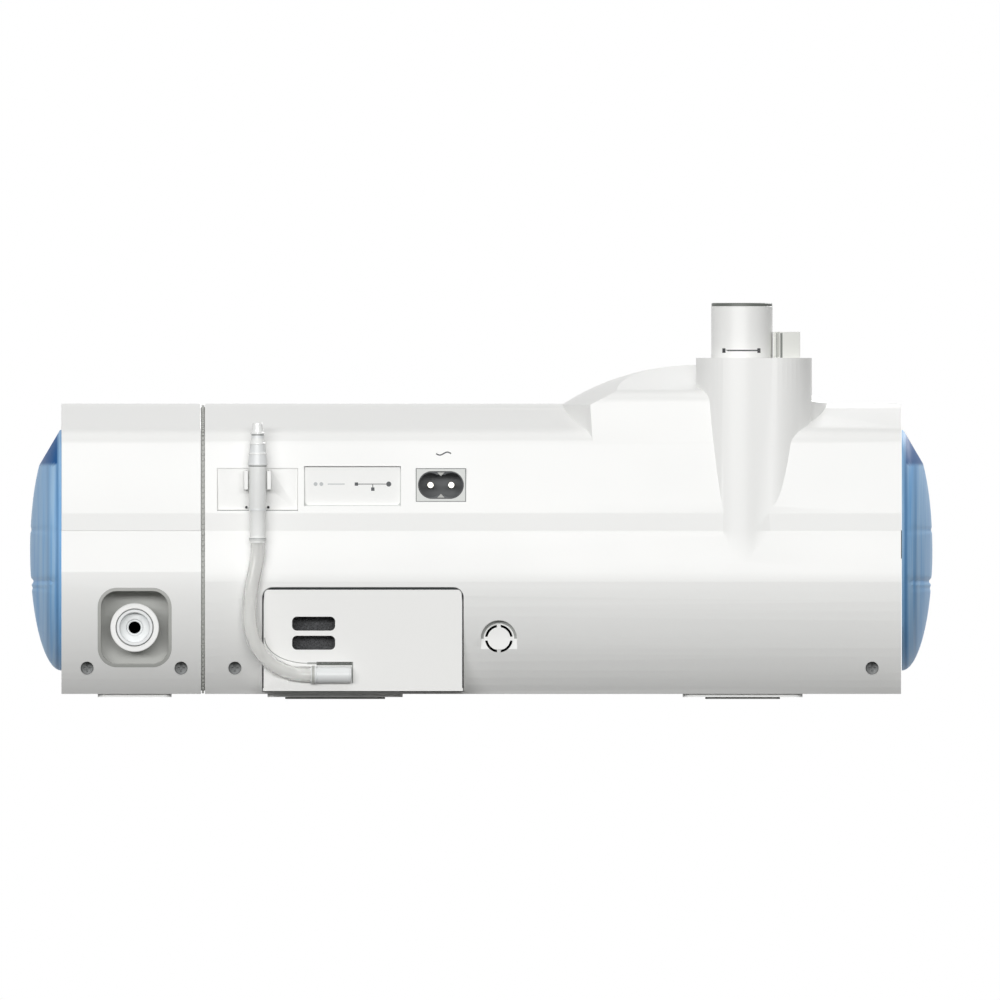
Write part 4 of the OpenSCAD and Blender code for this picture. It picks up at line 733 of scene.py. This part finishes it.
def corners(e, z, way, count):
    # Quarter circles that round the two corners of a frame at the height z, from left to right; way is 1 for corners
    # at the foot and -1 for corners at the head
    a = np.linspace(0, np.pi / 2, count)
    r = e["corner"]
    left = np.stack([e["x0"] + r * (1 - np.cos(a)), z + way * r * (1 - np.sin(a))], -1)
    right = np.stack([e["x1"] - r * (1 - np.sin(a)), z + way * r * (1 - np.cos(a))], -1)
    return left, right


def atDepths(rows):
    # Rows of (flat line, depth at each of its points) side by side, as (point, row, xyz)
    return np.stack([np.column_stack([line[:, 0], 0 * line[:, 0] + depth, line[:, 1]]) for line, depth in rows], 1)


# Grey lip round three sides of the flap as painted shade of its edges, and the flap's living hinge: a thin web over
# the gap and a strip below it
flapLip = {
    "x0": 33.6, "x1": 73.0, "z0": 80.3, "z1": 94.6, "wide": 0.27, "corner": 1.7, "outerShare": 0.35, "y": (66.3, 67.12),
    "webZ": (96.4, 96.8), "webPast": 0.5, "webLift": 0.04, "stripZ": (94.85, 95.9), "stripLift": 0.08,
}


def addFlapLip():
    # A frame of four rows of points round the flap's free edges: nearly square outside, rounded inside
    e = flapLip
    left, right = corners(e, e["z0"], 1, 8)
    inner = np.vstack([[(e["x0"], e["z1"])], left, right, [(e["x1"], e["z1"])]])
    w, share = e["wide"], e["outerShare"]
    outer = np.vstack([[(e["x0"] - w, e["z1"])], (left - [e["x0"], e["z0"]]) * share + [e["x0"] - w, e["z0"] - w],
                       (right - [e["x1"], e["z0"]]) * share + [e["x1"] + w, e["z0"] - w], [(e["x1"] + w, e["z1"])]])
    low, high = e["y"]
    points = atDepths([(outer, low), (outer, high), (inner, high), (inner, high - 0.1)])
    last = 4 * (len(points) - 1)
    faces = gridFaces(len(points), 4) + [(0, 1, 2, 3), (last + 3, last + 2, last + 1, last)]
    makePiece("flapLip", points, faces, "comms_flap", "pale_tpe", material=flapEdgeShade)


def addHinge():
    e = flapLip
    web = boxOutline(e["x0"] - e["webPast"], e["x1"] + e["webPast"], *e["webZ"])
    addSlabs("flapHingeWeb", [web], e["webLift"], laidOn(wallY), "upper_housing", "white_abs")
    strip = boxOutline(e["x0"], e["x1"], *e["stripZ"])
    addSlabs("flapHingeStrip", [strip], e["stripLift"], laidOn(marks["flapY"]), "comms_flap", "pale_tpe",
             finish["white_abs"])


# Painted shadow in the gap round the filter cover, as a dark strip
coverGapShade = {"x0": 7.6, "x1": 90.4, "z0": 4.5, "z1": 46.0, "corner": 4.0, "sideWide": 0.3, "topWide": 0.75,
             "widens": 6, "proud": 0.04, "sunk": -0.6}


def addCoverGapShadow():
    # A thin dark strip of painted gap shadow up one side, over the top and down the other, wider over the top
    e = coverGapShade
    left, right = corners(e, e["z1"], -1, 10)
    up = np.linspace(e["z0"], left[0, 1], 30, endpoint=False)
    across = np.linspace(left[-1, 0], right[0, 0], 20)[1:-1]
    flat = np.vstack([np.column_stack([0 * up + e["x0"], up]), left, np.column_stack([across, 0 * across + e["z1"]]),
                      right, np.column_stack([0 * up + e["x1"], up[::-1]])])
    wide = np.interp(flat[:, 1], [e["z1"] - e["widens"], e["z1"]], [e["sideWide"], e["topWide"]])
    inner = np.stack([np.clip(flat[:, 0], e["x0"] + wide, e["x1"] - wide), np.minimum(flat[:, 1], e["z1"] - wide)], -1)
    rows = [(flat, e["sunk"]), (flat, e["proud"]), (inner, e["proud"]), (inner, e["sunk"])]
    points = atDepths([(line, coverY(line[:, 1]) + lift) for line, lift in rows])
    ends = [end.mean(axis=1, keepdims=True).repeat(4, axis=1) for end in (points[:1], points[-1:])]
    points = np.concatenate([ends[0], points, ends[1]])
    makePiece("coverGapShadowStrip", points, gridFaces(len(points), 4), "filter_cover", "grey_foam", material=coverGapShadow)


# Painted shade of the groove beside the hose on the cover: a quarter ellipse, then a shade straight on above the barb
hoseGroove = {"x": 72.0, "z": 25.4, "halfX": 17.65, "halfZ": 10.6, "wide": 0.34, "endX": 54.0, "shadeWide": 0.8,
              "lift": 0.03}
# The recess round the barb, shaded above it and down its end, and the arched recess of the knock-out vent
barbRecess = {"x": (53.5, 68.2), "z": (13.9, 15.4), "endX": (53.1, 53.4), "footZ": 6.6, "lift": 0.03}
vent = {"x": -7.3, "z": 25, "faceIn": 2.2, "archR": 6.9, "wide": 1.1, "lift": 0.03}


def addRecessShades():
    h = hoseGroove
    a = np.linspace(0, np.pi / 2, 30)
    arc = np.stack([h["x"] + h["halfX"] * np.cos(a), h["z"] - h["halfZ"] * np.sin(a)], -1)
    low, half = h["z"] - h["halfZ"], h["shadeWide"] / 2
    groove = [ribbonOutline(arc, h["wide"]), boxOutline(h["endX"], h["x"], low - half, low + half)]
    addSlabs("coverHoseGrooveShade", groove, h["lift"], laidOn(coverY), "filter_cover", "white_abs", grooveShade)
    b = barbRecess
    shade = [boxOutline(*b["x"], *b["z"]), boxOutline(*b["endX"], b["footZ"], b["z"][1])]
    addSlabs("ferruleRecessShade", shade, b["lift"], laidOn(coverY), "filter_cover", "white_abs", darkTrimAndRecessShade)
    v = vent
    a = np.linspace(0, np.pi, 40)
    arch = np.stack([v["x"] + v["archR"] * np.cos(a), v["z"] + v["archR"] * np.sin(a)], -1)
    addSlabs("ventArchShade", [ribbonOutline(arch, v["wide"])], v["lift"], laidOn(underY(v["z"]) - v["faceIn"]),
             "lower_housing", "white_abs", grooveShade)


addRecessShades()
addFlapLip()
addHinge()
addCoverGapShadow()

# Outlet tube: a 22 mm socket with a co-moulded ring at its mouth and a keyed slot at its foot
outlet = {
    "x": -107.9, "y": 51.675, "lowZ": 116.0, "topZ": 164.0, "outerR": 12.7, "socketR": 11.2, "socketLowZ": 140.0,
    "lowBoreR": 9.5, "edge": 0.35, "around": 144, "ringHigh": 1.2, "ringIn": 0.12,
    "slotX": (-7.5, 7.9), "slotZ": (143.3, 145.2), "barZ": (144.0, 144.6), "endWide": 1.3, "slotLift": 0.04,
}


def addOutlet():
    o = outlet
    centre, mouth, top = (o["x"], o["y"], 0), o["topZ"] - o["ringHigh"], o["topZ"] - 0.02
    outer, socket, bore, edge = o["outerR"], o["socketR"], o["lowBoreR"], o["edge"]
    wall = [(socket, mouth), (outer - edge, mouth), (outer, mouth - edge), (outer, o["lowZ"] + 0.4),
            (outer - 0.4, o["lowZ"]), (bore, o["lowZ"]), (bore, o["socketLowZ"]), (socket, o["socketLowZ"]),
            (socket, mouth)]
    addTurned("outletSocket", wall, centre, "outlet_tube", "pale_abs", around=o["around"], replace=True,
              material=finish["white_abs"])
    rim = outer - o["ringIn"]
    ring = [(socket, mouth - 0.3), (socket, top - 0.15), (socket + 0.15, top), (outer - 0.5, top), (rim, top - 0.3),
            (rim, mouth - 0.15), (outer - 0.6, mouth - 0.3), (socket, mouth - 0.3)]
    addTurned("outletMouthRing", ring, centre, "outlet_tube", "pale_abs", around=o["around"], material=darkTrimAndRecessShade)

    def onTube(flat, lift):  # y = middle + sqrt((radius + lift)^2 - x^2)
        return np.stack([o["x"] + flat[:, 0], o["y"] + np.sqrt((outer + lift) ** 2 - flat[:, 0] ** 2), flat[:, 1]], -1)
    start, end = o["slotX"]
    x = np.linspace(start, end, 14)
    bar = np.vstack([np.column_stack([x, 0 * x + o["barZ"][0]]), np.column_stack([x[::-1], 0 * x + o["barZ"][1]])])
    ends = [boxOutline(x0, x0 + o["endWide"], *o["slotZ"]) for x0 in (start - 0.2, end + 0.2 - o["endWide"])]
    addSlabs("outletKeySlot", [bar] + ends, o["slotLift"], onTube, "outlet_tube", "dark_nylon")


addOutlet()

# Two dark lines down the back of the heated-tube connector, where its insert meets its body
connectorLines = {"inFromSide": (1.4, 3.0), "wide": (0.35, 0.9), "lowZ": 141.3, "underTop": 0.5, "lift": 0.04}


def addConnectorGroove():
    g = connectorLines
    _, (side, back, top) = np.array(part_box("tube_connector"), dtype=float) / mm
    lines = [boxOutline(side - start - wide, side - start, g["lowZ"], top - g["underTop"])
             for start, wide in zip(g["inFromSide"], g["wide"])]
    addSlabs("connectorGroove", lines, g["lift"], laidOn(back), "tube_connector", "grey_abs", darkTrimAndRecessShade)


addConnectorGroove()

# Mains inlet face: a pale frame with a dark edge, a dark oval rim and grey keys; the dark nylon body shows inside
inlet = {"x": 16.7, "z": 88.6, "frontY": 68.21, "halfWide": 10.35, "halfHigh": 6.9, "ovalHalf": 9.5, "ovalR": 5.75,
         "lineWide": 0.28, "rimWide": 0.45, "keyHalf": 1.5, "keyZ": (5.2, 3.7), "keyLift": 0.1, "sunk": -0.03,
         "lineOut": 0.12, "plateOut": 0.16, "rimOut": 0.2}
inletLine = mouldedPlastic("inletEdgeShade", "#7c7f7e", 0.6, relief=0.0, shade="#6c6f6e")
inletPlate = mouldedPlastic("paleInletFrame", "#dcdedb", 0.45, shade="#cfd1ce")


def ovalOutline(halfLong, radius):
    # Points of a stadium: two half circles joined by straights, starting at the lower right
    a = np.linspace(-np.pi / 2, np.pi / 2, 32)
    right = np.stack([halfLong - radius + radius * np.cos(a), radius * np.sin(a)], -1)
    return np.vstack([right, -right])


def squaredOutline(halfLong, halfHigh):
    # As many points pushed out to a rectangle: each is scaled until it meets the edge, and four move to the corners
    oval = ovalOutline(halfLong, halfHigh)
    reach = np.maximum(np.abs(oval[:, 0]) / halfLong, np.abs(oval[:, 1]) / halfHigh)
    flat = oval / reach[:, None]
    for corner in np.array([(1, 1), (1, -1), (-1, 1), (-1, -1)]) * (halfLong, halfHigh):
        flat[np.argmin(np.linalg.norm(flat - corner, axis=1))] = corner
    return flat


def addInletRing(name, outer, inner, out, material):
    # A flat ring between two outlines with as many points each
    n = inlet
    rows = [np.column_stack([n["x"] + line[:, 0], 0 * line[:, 0] + n["frontY"] + y, n["z"] + line[:, 1]])
            for line, y in ((outer, n["sunk"]), (outer, out), (inner, out), (inner, n["sunk"]))]
    makePiece(name, rows, gridFaces(4, len(outer), wrapRows=True), "c8_inlet", "grey_abs", material=material)


def addInletFace():
    n = inlet
    edge = squaredOutline(n["halfWide"], n["halfHigh"])
    edgeIn = squaredOutline(n["halfWide"] - n["lineWide"], n["halfHigh"] - n["lineWide"])
    oval = ovalOutline(n["ovalHalf"], n["ovalR"])
    ovalIn = ovalOutline(n["ovalHalf"] - n["rimWide"], n["ovalR"] - n["rimWide"])
    addInletRing("inletEdgeLine", edge, edgeIn, n["lineOut"], inletLine)
    addInletRing("inletFramePlate", edgeIn, oval, n["plateOut"], inletPlate)
    addInletRing("inletOvalRim", oval, ovalIn, n["rimOut"], finish["dark_nylon"])
    x, half, (wide, tip) = n["x"], n["keyHalf"], n["keyZ"]
    keys = [[(x - half, n["z"] + s * wide), (x + half, n["z"] + s * wide), (x, n["z"] + s * tip)] for s in (1, -1)]
    addSlabs("inletKeys", keys, n["keyLift"], laidOn(n["frontY"]), "c8_inlet", "grey_abs")


addInletFace()

# Painted shade in the nipple's grooves, painted shadows at the tops of the clip's jaws, and painted shadow in the gap
# under the clip plate
nippleGrooveShades = ((109.3, 2.5), (105.0, 2.9), (100.8, 3.3), (96.4, 3.68), (66.3, 3.46))  # height, radius
clipJawShadows = {"x": (97.25, 88.15), "z": (94.2, 79.4), "y": 68.6, "r": 0.55}
clipGapShadow = {"x": (75.9, 109.4), "z": (77.95, 78.3), "lift": 0.04}


def addShadeLines():
    shade = mouldedPlastic("shadedGroove", "#8d908f", 0.5, relief=0.0, shade="#7c7f7e")
    for k, (z, r) in enumerate(nippleGrooveShades):
        ring = [(r + 0.05, z - 0.2), (r + 0.12, z - 0.08), (r + 0.12, z + 0.08), (r + 0.05, z + 0.2),
                (r - 0.4, z + 0.2), (r - 0.4, z - 0.2), (r + 0.05, z - 0.2)]
        addTurned("nippleRing%d" % (k + 1), ring, (nipple["x"], nipple["y"], 0), "oxygen_nipple", "pale_abs", around=48,
                  material=shade)
    a = np.linspace(0, np.pi, 9)
    jawShadowOutline = clipJawShadows["r"] * np.stack([np.sin(a), np.cos(a)], -1)
    for k, x in enumerate(clipJawShadows["x"]):
        for i, z in enumerate(clipJawShadows["z"]):
            addTurned("clipPad%d%d" % (k + 1, i + 1), jawShadowOutline, (x, clipJawShadows["y"], z), "clip_plate", "dark_nylon", around=20)
    addSlabs("clipPlateGapShadow", [boxOutline(*clipGapShadow["x"], *clipGapShadow["z"])], clipGapShadow["lift"], laidOn(wallY),
             "clip_plate", "dark_nylon", shade)


addShadeLines()
print("marks, edging, outlet, inlet and fine lines made")

# Front panel: the picture behind the window and the marks on the controls. The panel leans back; s runs up it and out
# stands away from it, both in mm.
panel = {"lean": math.radians(29.0), "footY": -78.825, "footZ": 38.0, "windowOut": 0.5}


def onPanel(surface):
    # Flat points (x, s) laid on the panel: y = footY + s sin(lean) - out cos(lean), z = footZ + s cos(lean)
    # + out sin(lean), where out = surface + lift
    sine, cosine = math.sin(panel["lean"]), math.cos(panel["lean"])

    def place(flat, lift):
        out, s = surface + lift, flat[:, 1]
        y, z = panel["footY"] + s * sine - out * cosine, panel["footZ"] + s * cosine + out * sine
        return np.stack([flat[:, 0], y, z], -1)
    return place


def panelTop(node):
    # How far the node's highest point stands out from the panel: (z - footZ) sin(lean) - (y - footY) cos(lean)
    _, y, z = meshPoints(nodes[node].data).T
    out = (z - panel["footZ"]) * math.sin(panel["lean"]) - (y - panel["footY"]) * math.cos(panel["lean"])
    return float(out.max())


def litInk(name, colour, glow):
    # A lit part of the display: its own light, a little uneven over 30 mm as a backlight is
    material, tree, shader, place = startMaterial(name)
    drift = addNode(tree, "ShaderNodeTexNoise", {"Scale": 1 / 0.03, "Detail": 1.0}, {"Vector": place})
    level = addNode(tree, "ShaderNodeMapRange", {"To Min": glow * 0.9, "To Max": glow * 1.1},
                    {"Value": drift.outputs["Fac"]})
    setNode(tree, shader, {"Base Color": hexColour(colour), "Emission Color": hexColour(colour), "Roughness": 0.4},
            {"Emission Strength": level.outputs["Result"]})
    return material


def arcOutline(x, s, r, width, start, end, count=40):
    # Part of a ring between two angles in degrees
    a = np.radians(np.linspace(start, end, count))
    way = np.stack([np.cos(a), np.sin(a)], -1)
    return np.vstack([[x, s] + way * (r + width / 2), ([x, s] + way * (r - width / 2))[::-1]])


# A plain breathing display: pressure dial, three value bars, a flow curve and a line above
picture = {
    "dial": (-24.0, 51.0, 12.5), "dialWide": 2.2, "dialLit": (-30, 130), "dialDim": (132, 210), "hubR": 3.0,
    "bars": ((6.0, 60.5, 30.0), (6.0, 53.5, 22.0), (6.0, 46.5, 26.0)), "barHigh": 2.6, "barLit": 0.62, "barDim": 0.64,
    "curveX": (-38.0, 36.0), "curveS": 29.5, "curveHigh": 5.2, "curveWide": 0.7, "breaths": 4, "flatness": 2.0,
    "fade": 0.1, "axisHigh": 0.2, "headX": (-42.0, 38.0), "headS": (69.5, 69.85),
    "tagX": ((30.0, 36.0), (-42.0, -36.0)), "tagS": (70.6, 72.2), "lift": 0.02,
}


def addPicture():
    # The flow curve is s = curveS + curveHigh exp(-fade t) tanh(flatness sin(breaths 2 pi t)) / tanh(flatness)
    p = picture
    t = np.linspace(0, 1, 160)
    wave = np.tanh(p["flatness"] * np.sin(t * p["breaths"] * 2 * np.pi)) / np.tanh(p["flatness"])
    wave *= np.exp(-p["fade"] * t)
    (start, end), axis, thin, high = p["curveX"], p["curveS"], p["axisHigh"] / 2, p["barHigh"] / 2
    curve = np.column_stack([start + t * (end - start), axis + p["curveHigh"] * wave])
    teal = [ribbonOutline(curve, p["curveWide"]), arcOutline(*p["dial"], p["dialWide"], *p["dialLit"])]
    teal += [boxOutline(x, x + long * p["barLit"], s - high, s + high) for x, s, long in p["bars"]]
    dim = [arcOutline(*p["dial"], p["dialWide"], *p["dialDim"]), boxOutline(start, end, axis - thin, axis + thin)]
    dim += [boxOutline(x + long * p["barDim"], x + long, s - high, s + high) for x, s, long in p["bars"]]
    pale = [boxOutline(*p["headX"], *p["headS"]), circleOutline(*p["dial"][:2], p["hubR"])]
    pale += [boxOutline(*x, *p["tagS"]) for x in p["tagX"]]
    for name, outlines, material in (("pictureTeal", teal, litInk("displayTeal", "#35b6bd", 0.9)),
                                     ("pictureDim", dim, litInk("displayDimBlue", "#2a4a5c", 0.5)),
                                     ("picturePale", pale, litInk("displayPale", "#cfe0e6", 0.8))):
        addSlabs(name, outlines, p["lift"], onPanel(panel["windowOut"] + p["lift"]), "display_window", "window_glass",
                 material)


addPicture()

# Plain function marks, as node, place on the panel, finish and outlines round that place: a ring with a bar, a house,
# a rising wedge, a struck-out bar and the knob's pointer
markWhite = mouldedPlastic("whitePadPrintedInk", "#f4f4f2", 0.5, relief=0.0, shade="#e4e6e6")
markLift = 0.03
controlMarks = {
    "startMark": ("start_button", (72.0, 23.0), markWhite,
                  [arcOutline(0, 0, 2.5, 0.6, 118, 422), boxOutline(-0.3, 0.3, 0.6, 3.2)]),
    "homeMark": ("home_button", (53.0, 24.0), inkBlack,
                 [[(-1.9, 0.1), (1.9, 0.1), (0, 1.9)], boxOutline(-1.2, 1.2, -1.6, -0.1)]),
    "rampMark": ("ramp_button", (91.0, 24.0), inkBlack, [[(-2.0, -1.1), (2.0, -1.1), (2.0, 1.3)]]),
    "muteMark": ("mute_button", (95.0, 75.0), inkBlack,
                 [boxOutline(-0.5, 0.5, -1.7, 1.7), ribbonOutline([(-1.9, -1.5), (1.9, 1.5)], 0.45)]),
    "knobPointer": ("knob", (72.0, 54.0), markWhite, [boxOutline(-0.45, 0.45, 7.6, 12.6)]),
}
for name, (node, centre, look, outlines) in controlMarks.items():
    outlines = [np.array(outline) + centre for outline in outlines]
    addSlabs(name, outlines, markLift, onPanel(panelTop(node)), node, nodeSlot[node], look)
print("front panel made")
